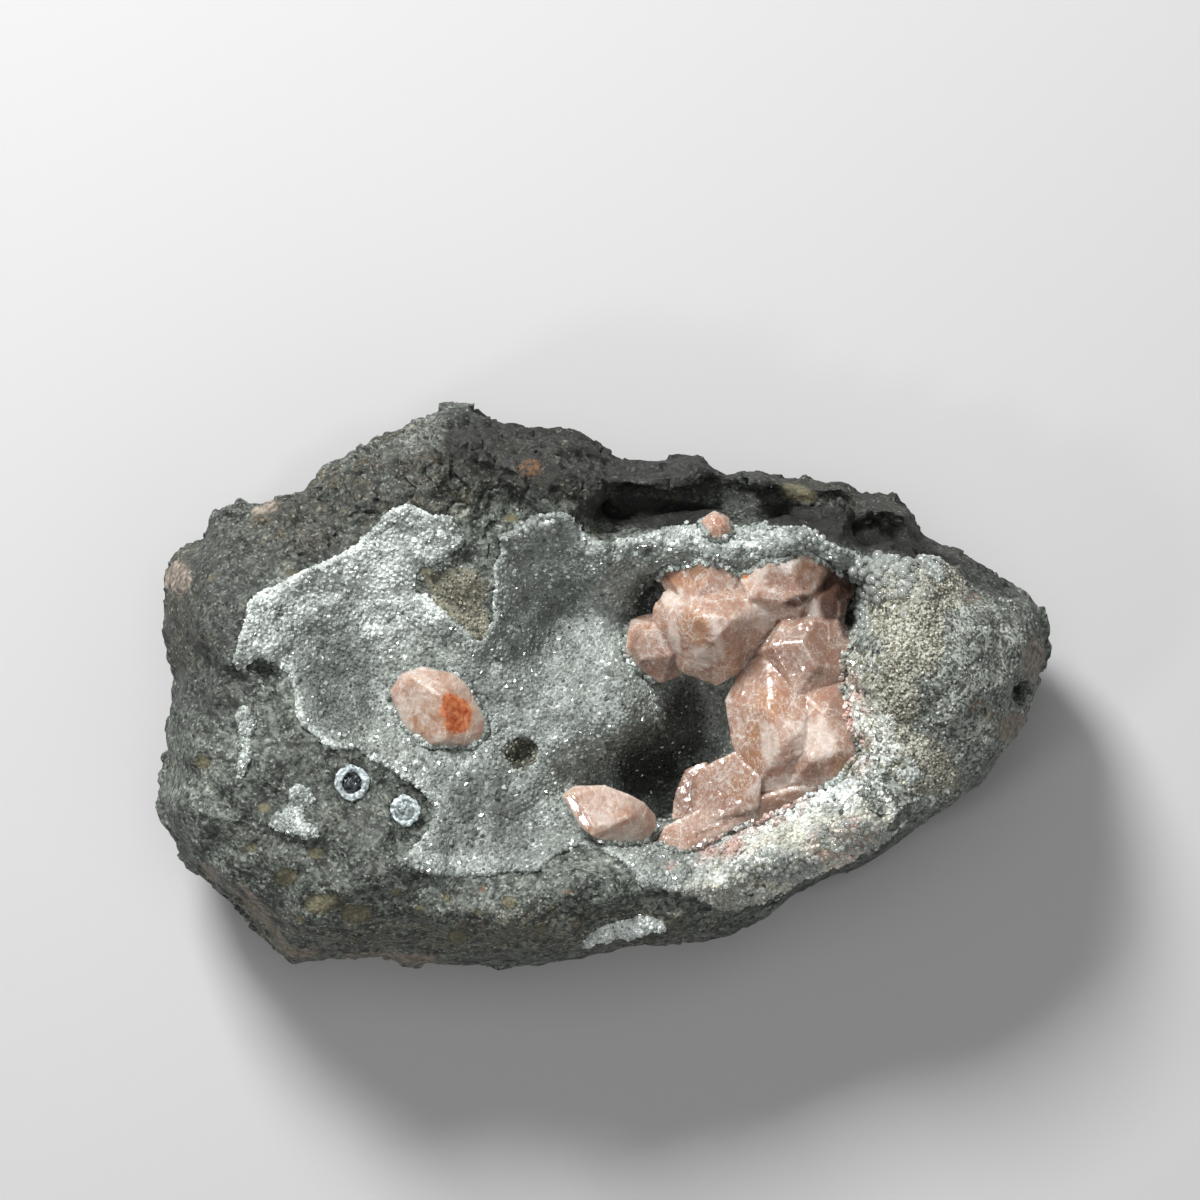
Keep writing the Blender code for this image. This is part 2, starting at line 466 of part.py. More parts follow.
def crystal(name, corners, kind=None, grow=0.0):
    """A crystal with flat faces between its corners. Grown, it is the socket that the crystal sits in."""
    shape = bmesh.new()
    for corner in corners:
        shape.verts.new(Vector(corner) * MM)
    hull = bmesh.ops.convex_hull(shape, input=shape.verts)
    unused = [item for item in hull["geom_interior"] if isinstance(item, bmesh.types.BMVert)]
    bmesh.ops.delete(shape, geom=unused, context="VERTS")
    bmesh.ops.dissolve_limit(shape, angle_limit=0.02, verts=shape.verts, edges=shape.edges)
    bmesh.ops.recalc_face_normals(shape, faces=shape.faces)
    middle = sum((vertex.co for vertex in shape.verts), Vector()) / len(shape.verts)
    nearest = min((face.verts[0].co - middle).dot(face.normal) for face in shape.faces)
    for vertex in shape.verts:
        vertex.co = middle + (vertex.co - middle) * (1 + grow * MM / nearest)
    return add_object(name, mesh_from_bmesh(name, shape), kind)


def collected(name, cutters):
    """A collection that holds cutters, for one Boolean."""
    group = bpy.data.collections.new(name)
    bpy.context.scene.collection.children.link(group)
    group.hide_render = True
    for cutter in cutters:
        bpy.context.scene.collection.objects.unlink(cutter)
        group.objects.link(cutter)
    return group


def boolean(obj, operation, group):
    modifier = obj.modifiers.new(f"{operation} {group.name}".lower(), "BOOLEAN")
    modifier.operation = operation
    modifier.solver = "EXACT"
    modifier.use_self = True
    modifier.operand_type = "COLLECTION"
    modifier.collection = group


def islands(shape):
    """The separate bodies of a mesh as lists of vertices, the largest last."""
    found = []
    left = set(shape.verts)
    while left:
        front = [left.pop()]
        island = list(front)
        while front:
            vertex = front.pop()
            fresh = {edge.other_vert(vertex) for edge in vertex.link_edges} & left
            left -= fresh
            island.extend(fresh)
            front.extend(fresh)
        found.append(island)
    return sorted(found, key=len)


def settle(obj):
    """Applies the object's modifiers, and drops the crumbs that a cut has left."""
    bpy.context.view_layer.update()
    graph = bpy.context.evaluated_depsgraph_get()
    mesh = bpy.data.meshes.new_from_object(obj.evaluated_get(graph))
    obj.modifiers.clear()
    shape = bmesh.new()
    shape.from_mesh(mesh)
    bmesh.ops.remove_doubles(shape, verts=shape.verts, dist=0.004 * MM)
    bmesh.ops.dissolve_degenerate(shape, edges=shape.edges, dist=0.004 * MM)
    bmesh.ops.triangulate(shape, faces=shape.faces)
    for island in islands(shape)[:-1]:
        bmesh.ops.delete(shape, geom=island, context="VERTS")
    shape.to_mesh(mesh)
    shape.free()
    obj.data = mesh
    return obj


def grown_copy(obj, distance):
    """A cutter of the same shape as the object, larger by the distance on all sides."""
    mesh = obj.data.copy()
    mesh.materials.clear()
    normals = [vertex.normal.copy() for vertex in mesh.vertices]
    for vertex, normal in zip(mesh.vertices, normals):
        vertex.co += normal * distance * MM
    return add_object(f"grown_{obj.name}", mesh)


def build_stone():
    """The basalt: a rounded, broken lump with the hollow, its undercut edges and its gas holes."""

    def steady(places):
        """Full roughness on the broken sides, less in the lined hollow, and least at the outline."""
        plane = places[:, :2]
        share = 0.25 + 0.75 * np.clip(edge_distance(STONE_OUTLINE, plane) / 3.0, 0, 1)
        lined = is_inside(CRUST_OUTLINE, plane) & (places[:, 2] > BELLY / 2)
        return np.where(lined, 0.4 * share, share)

    mesh = slab(
        "basalt_matrix", STONE_OUTLINE, front_height, back_height, belly_height, STONE_GRID,
        rings=(0.15, 0.55, 1.2, 2.1, 3.2),
    )
    roughen(mesh, [(2.2, 12, 3, 6), (1.3, 4.2, 2, 7)], steady)
    stone = add_object("basalt_matrix", mesh, "basalt")
    hollows = GROOVE_HOLLOWS + POCKET_HOLLOWS
    cutters = [ellipsoid(f"hollow_{n}", centre, radii) for n, (centre, radii) in enumerate(hollows)]
    for n, (x, y, radius) in enumerate(SMALL_PITS):
        height = front_height(np.array([(x, y)]))[0]
        cutters.append(ellipsoid(f"pit_{n}", (x, y, height - 0.2), (radius, radius, radius * 1.1), 2))
    for n, (turn, height, radius) in enumerate(SIDE_PITS):
        place = side_point(turn, height)
        cutters.append(ellipsoid(f"gas_hole_{n}", place, (radius, radius, radius), 2))
    boolean(stone, "DIFFERENCE", collected("hollows", cutters))
    even = stone.modifiers.new("even grid", "REMESH")
    even.mode = "VOXEL"
    even.voxel_size = STONE_VOXEL * MM
    settle(stone)
    thin = stone.modifiers.new("thin out", "DECIMATE")
    thin.ratio = STONE_TRIANGLES / len(stone.data.polygons)
    return settle(stone)


def side_point(turn, height):
    """A point on the stone's side in that direction from the middle, at that height."""
    way = np.array((math.cos(math.radians(turn)), math.sin(math.radians(turn))))
    reaches = np.linspace(5, 52, 236)
    line = reaches[:, None] * way
    inner = is_inside(STONE_OUTLINE, line)
    heights = back_height(line) if height < BELLY else front_height(line)
    solid = inner & ((heights < height) if height < BELLY else (heights > height))
    reach = reaches[solid].max() if solid.any() else reaches[inner].max()
    return (*(reach * way), height)


def surface_of(stone):
    """The height of the finished stone's front, as a function of points in the plane."""
    tree = bvhtree.BVHTree.FromPolygons(
        [vertex.co / MM for vertex in stone.data.vertices], [tuple(face.vertices) for face in stone.data.polygons]
    )

    def height(points):
        hits = [tree.ray_cast(Vector((*point, 80)), Vector((0, 0, -1)))[0] for point in points]
        return np.array([hit.z if hit else BELLY for hit in hits])

    return height


def build_crust(name, outline, thickness, surface, cutters):
    """A crust of analcime that follows the stone's front, with its crystals as points on its upper side."""
    random = np.random.RandomState(11)

    def top(plane):
        near = [(0, 0), (0.6, 0), (-0.6, 0), (0, 0.6), (0, -0.6)]
        level = np.max([surface(plane + step) for step in near], axis=0)
        relief = CRYSTAL_RELIEF * random.uniform(-0.5, 0.5, len(plane))
        return level + (thickness + relief) * rounded(edge_distance(outline, plane) + 0.25, 1.3)

    mesh = slab(
        name, outline, top, lambda plane: surface(plane) - CRUST_ROOT, lambda plane: surface(plane) - 0.4,
        CRUST_GRID, rings=(0.8,),
    )
    crust = add_object(name, mesh, "analcime")
    for group in cutters:
        boolean(crust, "DIFFERENCE", group)
    settle(crust)
    most = thickness * CRUST_TRIANGLES
    if len(crust.data.polygons) > most:
        thin = crust.modifiers.new("thin out", "DECIMATE")
        thin.ratio = most / len(crust.data.polygons)
        settle(crust)
    return crust


def build_ring(name, x, y, outer, inner, bed):
    """A ring of small analcime crystals that lines a vesicle."""
    height = front_height(np.array([(x, y)]))[0]
    outer = outer - GAP
    profile = [(outer, 0.1), (outer - 0.15, 0.45), (inner + 0.1, 0.3), (inner, -0.9), (outer, -0.9)]
    shape = bmesh.new()
    count = 20
    rings = []
    for k in range(count):
        angle = 2 * math.pi * k / count
        swell = 1 + 0.05 * (-1) ** k
        rings.append([
            shape.verts.new(
                Vector((x + r * swell * math.cos(angle), y + r * swell * math.sin(angle), height + z)) * MM
            )
            for r, z in profile
        ])
    for k in range(count):
        one, two = rings[k], rings[(k + 1) % count]
        for i in range(len(profile)):
            j = (i + 1) % len(profile)
            shape.faces.new((one[i], one[j], two[j], two[i]))
    bmesh.ops.recalc_face_normals(shape, faces=shape.faces)
    ring = add_object(name, mesh_from_bmesh(name, shape), "analcime")
    boolean(ring, "DIFFERENCE", bed)
    return settle(ring)


def block(name, low, high):
    shape = bmesh.new()
    bmesh.ops.create_cube(shape, size=1.0)
    low, high = Vector(low) * MM, Vector(high) * MM
    size = Matrix.Diagonal((*(high - low), 1.0))
    bmesh.ops.transform(shape, matrix=Matrix.Translation((low + high) / 2) @ size, verts=shape.verts)
    return add_object(name, mesh_from_bmesh(name, shape))


def main():
    for old in list(bpy.data.objects):
        bpy.data.objects.remove(old)

    stone = build_stone()
    surface = surface_of(stone)
    bed = collected("bed", [grown_copy(stone, GAP)])
    cluster = [*CLUSTER_UNEVEN, *(corners_of(*whole) for whole in CLUSTER_WHOLE)]
    singles = {**SINGLES_UNEVEN, "gmelinite_crystal_at_top": corners_of(*CRYSTAL_AT_TOP)}
    every = [*cluster, *singles.values()]
    sockets = collected("sockets", [crystal(f"socket_{n}", c, grow=GAP) for n, c in enumerate(every)])
    floor = collected("floor", [block("floor_block", (-80, -60, -20), (80, 60, 0))])
    boolean(stone, "DIFFERENCE", sockets)
    boolean(stone, "DIFFERENCE", floor)
    settle(stone)

    first, *others = [crystal(f"cluster_crystal_{n}", c, "gmelinite") for n, c in enumerate(cluster)]
    first.name = "gmelinite_cluster"
    boolean(first, "UNION", collected("cluster_crystals", others))
    settle(first)
    for name, corners in singles.items():
        crystal(name, corners, "gmelinite")

    punches = [ellipsoid(f"crust_hole_{n}", centre, radii) for n, (centre, radii) in enumerate(CRUST_HOLES)]
    holes = collected("crust_holes", punches)
    build_crust("analcime_crust", CRUST_OUTLINE, CRUST_THICKNESS, surface, [bed, sockets, holes])
    for name, outline in PATCH_OUTLINES.items():
        build_crust(name, outline, 0.7, surface, [bed])
    for name, (x, y, outer, inner) in VESICLE_RINGS.items():
        build_ring(name, x, y, outer, inner, bed)


main()
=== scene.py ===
"""The looks of a basalt specimen whose hollow is lined with analcime and holds salmon gmelinite crystals.

Lengths here are in millimetres until MM turns them into metres. X runs along the specimen and Z points up.
"""

import math

import bmesh
import bpy
import numpy as np
from mathutils import Euler, Matrix, Vector, noise
from mathutils.kdtree import KDTree


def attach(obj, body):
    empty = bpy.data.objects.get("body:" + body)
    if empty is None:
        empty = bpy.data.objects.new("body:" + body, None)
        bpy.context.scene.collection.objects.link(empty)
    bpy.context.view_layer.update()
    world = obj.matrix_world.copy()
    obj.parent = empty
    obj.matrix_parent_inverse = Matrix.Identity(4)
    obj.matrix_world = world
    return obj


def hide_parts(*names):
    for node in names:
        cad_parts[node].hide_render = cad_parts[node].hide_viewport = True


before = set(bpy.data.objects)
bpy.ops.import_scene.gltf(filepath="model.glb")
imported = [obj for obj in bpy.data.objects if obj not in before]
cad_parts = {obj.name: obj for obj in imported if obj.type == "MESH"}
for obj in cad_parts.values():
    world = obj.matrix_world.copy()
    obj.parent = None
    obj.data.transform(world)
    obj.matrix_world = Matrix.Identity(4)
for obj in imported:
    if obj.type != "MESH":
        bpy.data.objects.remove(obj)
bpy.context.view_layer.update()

MM = 0.001

# The basalt: a loose broken lump of fine-grained dark lava, with gas holes, chipped ledges and a hollow that
# the crystals grew in. Weather has turned its upper slope brown, and mineral fills make olive spots in it.


def only(piece):
    """Selects this piece and nothing else."""
    bpy.ops.object.select_all(action="DESELECT")
    piece.select_set(True)
    bpy.context.view_layer.objects.active = piece


def surface_of(node, name):
    """A copy of a solid, to be shaped into the surface that shows, with its loose triangles joined."""
    piece = bpy.data.objects.new(name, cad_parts[node].data.copy())
    bpy.context.scene.collection.objects.link(piece)
    piece.data.materials.clear()
    only(piece)
    bpy.ops.object.mode_set(mode="EDIT")
    bpy.ops.mesh.select_all(action="SELECT")
    bpy.ops.mesh.remove_doubles(threshold=0.001 * MM)
    bpy.ops.object.mode_set(mode="OBJECT")
    return piece


def shaped(piece, kind, **settings):
    """Adds a modifier to a piece and applies it."""
    only(piece)
    modifier = piece.modifiers.new(kind.title(), kind)
    for name, value in settings.items():
        setattr(modifier, name, value)
    bpy.ops.object.modifier_apply(modifier=modifier.name)


def points_and_normals(piece):
    """The piece's points in millimetres, and its normals there."""
    count = len(piece.data.vertices)
    points = np.empty(3 * count, np.float32)
    normals = np.empty(3 * count, np.float32)
    piece.data.vertices.foreach_get("co", points)
    piece.data.vertex_normals.foreach_get("vector", normals)
    return points.reshape(-1, 3) / MM, normals.reshape(-1, 3)


def move_points(piece, points):
    piece.data.vertices.foreach_set("co", (points * MM).astype(np.float32).ravel())
    piece.data.update()


def cloudy(points, size, seed, octaves=3):
    """Fractal noise of about -1 to 1 whose lumps have that size."""
    shift = Vector((seed * 13.7, seed * -7.9, seed * 3.1))
    return np.array([noise.fractal(Vector(p) / size + shift, 0.8, 2.0, octaves) for p in points])


def chipped(points, size, seed):
    """Flat chips of about that size that lean each its own way, with small steps between them, -1 to 1."""
    shift = Vector((seed * 5.3, seed * 11.9, seed * -8.7))
    heights = []
    for point in points:
        place = Vector(point) / size + shift
        middle = noise.voronoi(place)[1][0]
        heights.append((place - middle).dot(noise.cell_vector(middle * 37.0 + shift) * 2 - Vector((1, 1, 1))))
    return np.array(heights)


def cracked(points, size, width, seed):
    """Cracks between lumps of about that size: 1 in the middle of a crack and 0 away from it."""
    noise.seed_set(seed)
    shift = Vector((seed * 7.7, seed * -4.9, seed * 2.3))
    gaps = []
    for point in points:
        place = Vector(point) / size + shift
        distances = noise.voronoi(place + noise.noise_vector(place * 2.0) * 0.35)[0]
        gaps.append(max(0.0, 1 - (distances[1] - distances[0]) / width))
    return np.array(gaps)


def pitted(points, size, width, share, seed):
    """Round pits in a share of the cells of that size: 1 in the middle of a pit and 0 outside."""
    shift = Vector((seed * -3.3, seed * 6.1, seed * 9.7))
    depths = []
    for point in points:
        distances, middles = noise.voronoi(Vector(point) / size + shift)
        there = noise.cell(middles[0] * 41.0) < share
        depths.append(max(0.0, 1 - (distances[0] / width) ** 2) if there else 0.0)
    return np.array(depths)


def spots(points, *ellipses):
    """How far inside the nearest ellipse each point is, seen from above: 1 in its middle, 0.5 on its edge, 0
    farther out. An ellipse is (x, y, half width, half height, turn in degrees)."""
    best = np.full(len(points), -1.0)
    for x, y, half_width, half_height, turn in ellipses:
        cos, sin = math.cos(math.radians(turn)), math.sin(math.radians(turn))
        dx, dy = points[:, 0] - x, points[:, 1] - y
        across = np.hypot((dx * cos + dy * sin) / half_width, (dy * cos - dx * sin) / half_height)
        best = np.maximum(best, 1 - across)
    return best / 2 + 0.5


def soft(points, *ellipses):
    """A soft patch over ellipses: 1 inside and fading to 0 over the outer part."""
    share = np.clip((spots(points, *ellipses) - 0.4) / 0.3, 0, 1)
    return share * share * (3 - 2 * share)


def paint(piece, name, *channels):
    """Stores up to three values for each point as a colour attribute, for the material to read."""
    colours = np.zeros((len(piece.data.vertices), 4), np.float32)
    colours[:, 3] = 1
    for place, channel in enumerate(channels):
        colours[:, place] = channel
    piece.data.color_attributes.new(name, "FLOAT_COLOR", "POINT").data.foreach_set("color", colours.ravel())


class Wire:
    """One output of a shader node. Python arithmetic on wires adds the Math nodes that do it."""

    def __init__(self, finish, socket):
        self.finish = finish
        self.socket = socket

    def maths(self, operation, *values):
        return self.finish.node("Math", {"operation": operation}, dict(enumerate(values)))

    def __add__(self, other):
        return self.maths("ADD", self, other)

    def __sub__(self, other):
        return self.maths("SUBTRACT", self, other)

    def __rsub__(self, other):
        return self.maths("SUBTRACT", other, self)

    def __mul__(self, other):
        return self.maths("MULTIPLY", self, other)

    __radd__ = __add__
    __rmul__ = __mul__

    def step(self, start, end):
        """A smooth step from 0 at the start to 1 at the end."""
        return self.finish.node(
            "MapRange", {"interpolation_type": "SMOOTHSTEP"},
            {"Value": self, "From Min": start, "From Max": end},
        )


class Finish:
    """A Principled material in the making."""

    def __init__(self, name, constants):
        self.material = bpy.data.materials.new(name)
        self.material.use_nodes = True
        self.tree = self.material.node_tree
        self.shader = self.tree.nodes["Principled BSDF"]
        for socket, value in constants.items():
            self.shader.inputs[socket].default_value = value
        self.place = self.node("TexCoord", output="Object")

    def node(self, kind, settings=None, sockets=None, output=0):
        """Adds a node with its settings, then the values or links of its sockets, and gives one output."""
        made = self.tree.nodes.new("ShaderNode" + kind)
        for name, value in (settings or {}).items():
            setattr(made, name, value)
        for name, value in (sockets or {}).items():
            if isinstance(value, Wire):
                self.tree.links.new(value.socket, made.inputs[name])
            else:
                made.inputs[name].default_value = value
        return Wire(self, made.outputs[output])

    def noise(self, size, detail=3, output="Fac"):
        """Noise whose lumps are about that size."""
        return self.node(
            "TexNoise", {}, {"Vector": self.place, "Scale": 1 / (size * MM), "Detail": detail}, output,
        )

    def cells(self, size, output="Distance"):
        """Cells of about that size: the distance to their middles, or a colour for each."""
        return self.node("TexVoronoi", {}, {"Vector": self.place, "Scale": 1 / (size * MM)}, output)

    def painted(self, name):
        """The three channels that were painted on the piece under that name."""
        colour = self.node("Attribute", {"attribute_name": name}, output="Color")
        return [self.node("SeparateColor", {}, {0: colour}, channel) for channel in range(3)]

    def mix(self, share, one, other):
        one, other = (c if isinstance(c, Wire) else (*c, 1.0) for c in (one, other))
        return self.node("Mix", {"data_type": "RGBA"}, {0: share, 6: one, 7: other}, 2)

    def feed(self, socket, wire):
        self.tree.links.new(wire.socket, self.shader.inputs[socket])

    def bump(self, height, depth):
        """Bumps that are that many millimetres deep where the height goes from 0 to 1."""
        sockets = {"Height": height, "Distance": depth * MM, "Strength": 1.0}
        self.feed("Normal", self.node("Bump", {}, sockets))

    def cover(self, piece, slot, body="root"):
        """Puts the material on a piece, which rides on a body; the slot it is given is not used."""
        piece.data.materials.append(self.material)
        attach(piece, body)


def sprinkled(piece, count, seed):
    """Random points in millimetres, spread evenly over a piece's area, with the normals there."""
    piece.data.calc_loop_triangles()
    corners = np.empty(3 * len(piece.data.loop_triangles), np.int32)
    piece.data.loop_triangles.foreach_get("vertices", corners)
    points, _ = points_and_normals(piece)
    one, two, three = points[corners.reshape(-1, 3)].transpose(1, 0, 2)
    across = np.cross(two - one, three - one)
    area = np.linalg.norm(across, axis=1)
    random = np.random.RandomState(seed)
    chosen = random.choice(len(area), count, p=area / area.sum())
    u, v = random.random_sample((2, count, 1))
    u, v = np.where(u + v > 1, 1 - u, u), np.where(u + v > 1, 1 - v, v)
    places = one[chosen] + (two - one)[chosen] * u + (three - one)[chosen] * v
    return places, across[chosen] / area[chosen, None]


def distances_to(marks, points):
    """How far each point is from the nearest of the marks."""
    tree = KDTree(len(marks))
    for index, mark in enumerate(marks):
        tree.insert(mark, index)
    tree.balance()
    return np.array([tree.find(point)[2] for point in points])


RIGHT_END = [(40.5, 0.5, 11.0, 11.0, 0), (36, -8, 9, 7, 30), (33, 8, 5.5, 5, 0)]
CREAM_END = [
    (35.4, 11.8, 5.4, 4.4, -10), (34.0, 6.5, 4.0, 5.8, 15), (35.5, -8.3, 5.0, 3.2, -38), (32.8, 0, 2.4, 7, 0),
]
GROOVE = [(6, 19.6, 10, 2.2, -4), (27, 18.0, 13, 2.4, -12), (37, 14.0, 5, 2.0, -28)]
OLIVE_PATCH = [(-15.6, 10.6, 3.2, 3.0, 20), (-13.9, 7.0, 1.9, 3.0, 15), (-18.0, 11.6, 1.6, 1.0, -30)]
DARK_HOLE = [(-8.7, -7.1, 2.0, 2.0, 0)]

basalt_piece = surface_of("basalt_matrix", "basalt_stone")
shaped(basalt_piece, "REMESH", mode="VOXEL", voxel_size=0.42 * MM)
shaped(basalt_piece, "SMOOTH", factor=0.5, iterations=2)
points, normals = points_and_normals(basalt_piece)

crust_gap = distances_to(sprinkled(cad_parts["analcime_crust"], 12000, 3)[0], points)
film_marks = [
    sprinkled(solid, 1500, 4)[0]
    for node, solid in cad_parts.items()
    if "patch" in node or "streak" in node
]
film_gap = distances_to(np.concatenate(film_marks), points)
at_rings = soft(points, (-27.4, -10.3, 3.4, 3.4, 0), (-21.7, -13.4, 3.2, 3.2, 0))
beside = np.clip(1.3 - crust_gap, 0, 1) * (1 - at_rings)
calm = np.maximum(np.maximum(beside, np.clip(1.3 - film_gap, 0, 1)), at_rings)
end = soft(points, *RIGHT_END) * np.clip(normals[:, 2] * 2, 0, 1)
top = np.maximum(soft(points, (-20, 24, 28, 9, 8)), 0.3 * soft(points, (25, 22, 28, 6, -15)))
rugged = np.where(points[:, 2] < 16, 0.85, 0.42 + 0.45 * top) * (1 - 0.9 * calm)
rugged = rugged * np.clip(points[:, 2] / 2 - 0.2, 0, 1)
relief = 0.60 * chipped(points, 4.2, 1) + 0.26 * chipped(points, 1.7, 2) + 0.20 * cloudy(points, 1.6, 3)
relief += (
    np.maximum(0.9 * top, points[:, 2] < 16) * chipped(points, 7.5, 7)
    - 0.8 * pitted(points, 3.0, 0.24, 0.4, 4)
)
relief -= (0.15 + 0.6 * top) * cracked(points, 5.5, 0.11, 6) + 0.4 * top * pitted(points, 1.6, 0.3, 0.4, 5)
hole = soft(points, (46.9, -0.4, 1.2, 1.3, 0)) * (normals[:, 2] > 0)
lift = (0.75 - 0.6 * soft(points, *GROOVE)) * beside - 0.06 + 0.7 * end - 3.0 * hole
lift += 0.35 * np.clip(1.3 - film_gap, 0, 1)
points = points + normals * (relief * rugged + lift)[:, None]
move_points(basalt_piece, points)

few = (0.25 + (points[:, 2] < 15) + (crust_gap < 1.0)).clip(0, 1).round(1)
thin_out = basalt_piece.vertex_groups.new(name="thin out")
for weight in np.unique(few):
    thin_out.add(np.flatnonzero(few == weight).tolist(), float(weight), "REPLACE")
shaped(basalt_piece, "TRIANGULATE")
fewer = min(1.0, 185000 / len(basalt_piece.data.polygons))
shaped(basalt_piece, "DECIMATE", ratio=fewer, vertex_group=thin_out.name)
only(basalt_piece)
bpy.ops.object.shade_smooth_by_angle(angle=math.radians(38))

points, normals = points_and_normals(basalt_piece)
brown = 0.5 * soft(points, (-24, 21, 18, 5, 16), (-8, 25, 16, 4, -8), (-47, 9, 3, 9, 0), (30, 21, 18, 4, -22))
brown = np.maximum(brown, 0.5 * soft(points, (-36, -27, 9, 3, -20), (-10, -27, 26, 3.0, 2)))
brown = np.maximum(brown, soft(
    points, (-31.0, 24.0, 2.6, 2.0, 40), (-26.0, 24.6, 2.2, 2.2, 0), (-34.9, 17.4, 1.3, 1.0, 0),
    (-17.5, 26.0, 3.0, 1.4, 0),
    (-7.6, 24.5, 1.2, 1.0, 0), (-22.0, 29.0, 5.0, 1.2, 10), (-36.5, 19.4, 2.8, 1.2, 18),
))
olive = spots(
    points, (-30.7, -23.6, 2.1, 1.1, 10), (-27.0, -24.8, 1.9, 1.1, 0), (-34.7, -20.7, 1.4, 1.0, 20),
    (-15.8, -27.5, 1.1, 0.9, 0), (-10.0, -23.4, 0.9, 0.7, 0), (-6.6, -26.5, 0.8, 0.6, 0),
    (22.0, 22.0, 2.5, 1.0, -20),
    (-31.3, -18.0, 0.9, 0.7, 0), (-37.0, -13.0, 0.8, 0.6, 0), (-17.0, -23.0, 0.6, 0.5, 0),
    (31.0, 23.5, 3.0, 1.0, -10), (-44.0, -8.0, 1.0, 0.8, 0), (-22.5, -22.4, 0.7, 0.5, 0),
    (-13.4, -24.6, 0.5, 0.4, 0),
    (-38.5, -17.5, 0.7, 0.5, 0),
)
pale = spots(
    points, (-47.3, 12.4, 1.9, 2.0, 20), (48.4, 3.2, 1.6, 2.8, 0), (45.6, -4.2, 2.0, 1.6, 40),
    (-37.4, -26.0, 5.6, 0.55, -47), (-38.4, -23.4, 3.0, 0.4, -50), (-34.0, -29.5, 2.6, 0.7, -10),
    (-37.2, 20.2, 1.8, 0.8, 18), (-43.5, -20.5, 1.6, 0.8, -50), (-23.0, -30.3, 6.5, 0.8, -3),
) * np.clip(normals[:, 2] * 5, 0, 1)
olive = olive * np.clip(normals[:, 2] * 5, 0, 1)
druse_cream = soft(points, *CREAM_END) * (normals[:, 2] > 0) * np.clip(14.6 - points[:, 1], 0, 1)
sparkling = 0.5 * soft(points, (-20, 28.5, 3.0, 2.6, 0)) + 0.5 * soft(points, (-33, 4, 2, 6, 0))
dark = np.maximum(soft(points, (-2, 26, 24, 6, -4)), 0.85 * soft(points, (26, 20.5, 24, 6, -17)))
# The groove under the upper edge is painted near-black: painted shade under the overhang.
dark = np.maximum(dark, 1.25 * soft(points, *GROOVE))
dark = np.maximum(dark, 0.60 * soft(
    points, (-28, 20, 16, 6, 22), (-44, 8, 8, 14, 0), (44.5, 6, 2.2, 3, 0),
) - sparkling)
dark = np.maximum(dark, 0.3 * soft(points, (-30, -13, 12, 10, 0)))
ledge = soft(points, (42.5, 14.0, 6.5, 3.2, -34))
# The hole at the right end is painted near-black too: painted shade inside it.
hole = soft(points, (46.9, -0.4, 0.9, 1.1, 0))
dark = np.maximum(np.maximum(dark, 0.7 * ledge), 1.3 * hole)
dark = np.maximum(dark, 0.8 * soft(points, (42.6, 2.6, 1.2, 1.2, 0)))
end = np.maximum(soft(points, *RIGHT_END) * (normals[:, 2] > 0), sparkling) * (1 - hole) * (1 - ledge)
rusty = soft(
    points, (41.5, 10.0, 0.9, 0.8, 0), (41.6, -1.8, 1.0, 0.9, 20), (43.0, -2.9, 0.8, 0.7, 0),
    (-7.6, 24.5, 1.4, 1.0, 0), (-3.5, -22.2, 0.6, 0.5, 0), (38, 12.4, 1.0, 0.8, 0),
    (-13.0, -21.9, 0.6, 0.3, 0),
)
paint(basalt_piece, "zones", brown, olive, pale)
paint(basalt_piece, "tones", dark, end, rusty)
paint(basalt_piece, "druse remains", druse_cream, soft(points, *OLIVE_PATCH), soft(points, *DARK_HOLE))

basalt = Finish("basalt", {"IOR": 1.5, "Specular IOR Level": 0.4})
brown, olive, pale = basalt.painted("zones")
dark, end, rusty = basalt.painted("tones")
druse_cream, olive_druse, hole_druse = basalt.painted("druse remains")
grain = basalt.node("SeparateColor", {}, {0: basalt.cells(0.26, "Color")}, 0)
coarse = basalt.node("SeparateColor", {}, {0: basalt.cells(0.55, "Color")}, 0)
soft_grain = basalt.noise(0.8, 4)
patchy = basalt.noise(3.2, 5)
speckle = grain * 0.38 + coarse * 0.20 + soft_grain * 0.60 + patchy * 0.55
colour = basalt.mix((speckle - 0.475).step(0.08, 0.86), (0.014, 0.017, 0.014), (0.228, 0.254, 0.221))
tan = basalt.mix((grain * 0.6 + soft_grain * 0.5).step(0.2, 0.9), (0.020, 0.015, 0.009), (0.23, 0.180, 0.110))
colour = basalt.mix(brown * basalt.noise(1.6, 5).step(0.40, 0.62) * 0.8, colour, tan)
# Near-black where the tones are dark: the dark upper slopes, and painted shade in the groove and the hole.
colour = basalt.mix(dark * (0.45 + patchy * 0.6 + (1 - grain) * 0.25), colour, (0.008, 0.008, 0.007))
granular = (grain * 0.45 + soft_grain * 0.5 + basalt.noise(0.35, 2) * 0.4 - 0.12).step(0.32, 0.80)
granular = basalt.mix(granular, (0.060, 0.066, 0.058), (0.40, 0.43, 0.385))
colour = basalt.mix(end * (basalt.noise(2.2, 4).step(0.35, 0.6) * 0.55 + 0.40), colour, granular)
creamy = (grain * 0.5 + basalt.noise(0.35, 3) * 0.6).step(0.30, 0.8)
creamy = basalt.mix(creamy, (0.065, 0.062, 0.045), (0.46, 0.455, 0.375))
colour = basalt.mix((druse_cream + patchy * 1.6 - 0.8).step(0.15, 0.75) * 0.9, colour, creamy)
olive_remains = basalt.mix(grain * 0.5 + soft_grain * 0.5, (0.050, 0.047, 0.032), (0.27, 0.26, 0.195))
colour = basalt.mix((olive_druse + soft_grain * 0.6 - 0.3).step(0.3, 0.5), colour, olive_remains)
colour = basalt.mix(hole_druse, colour, basalt.mix(grain, (0.018, 0.018, 0.014), (0.10, 0.10, 0.078)))
colour = basalt.mix(rusty * basalt.noise(0.6, 3).step(0.4, 0.6) * 0.7, colour, (0.16, 0.075, 0.030))
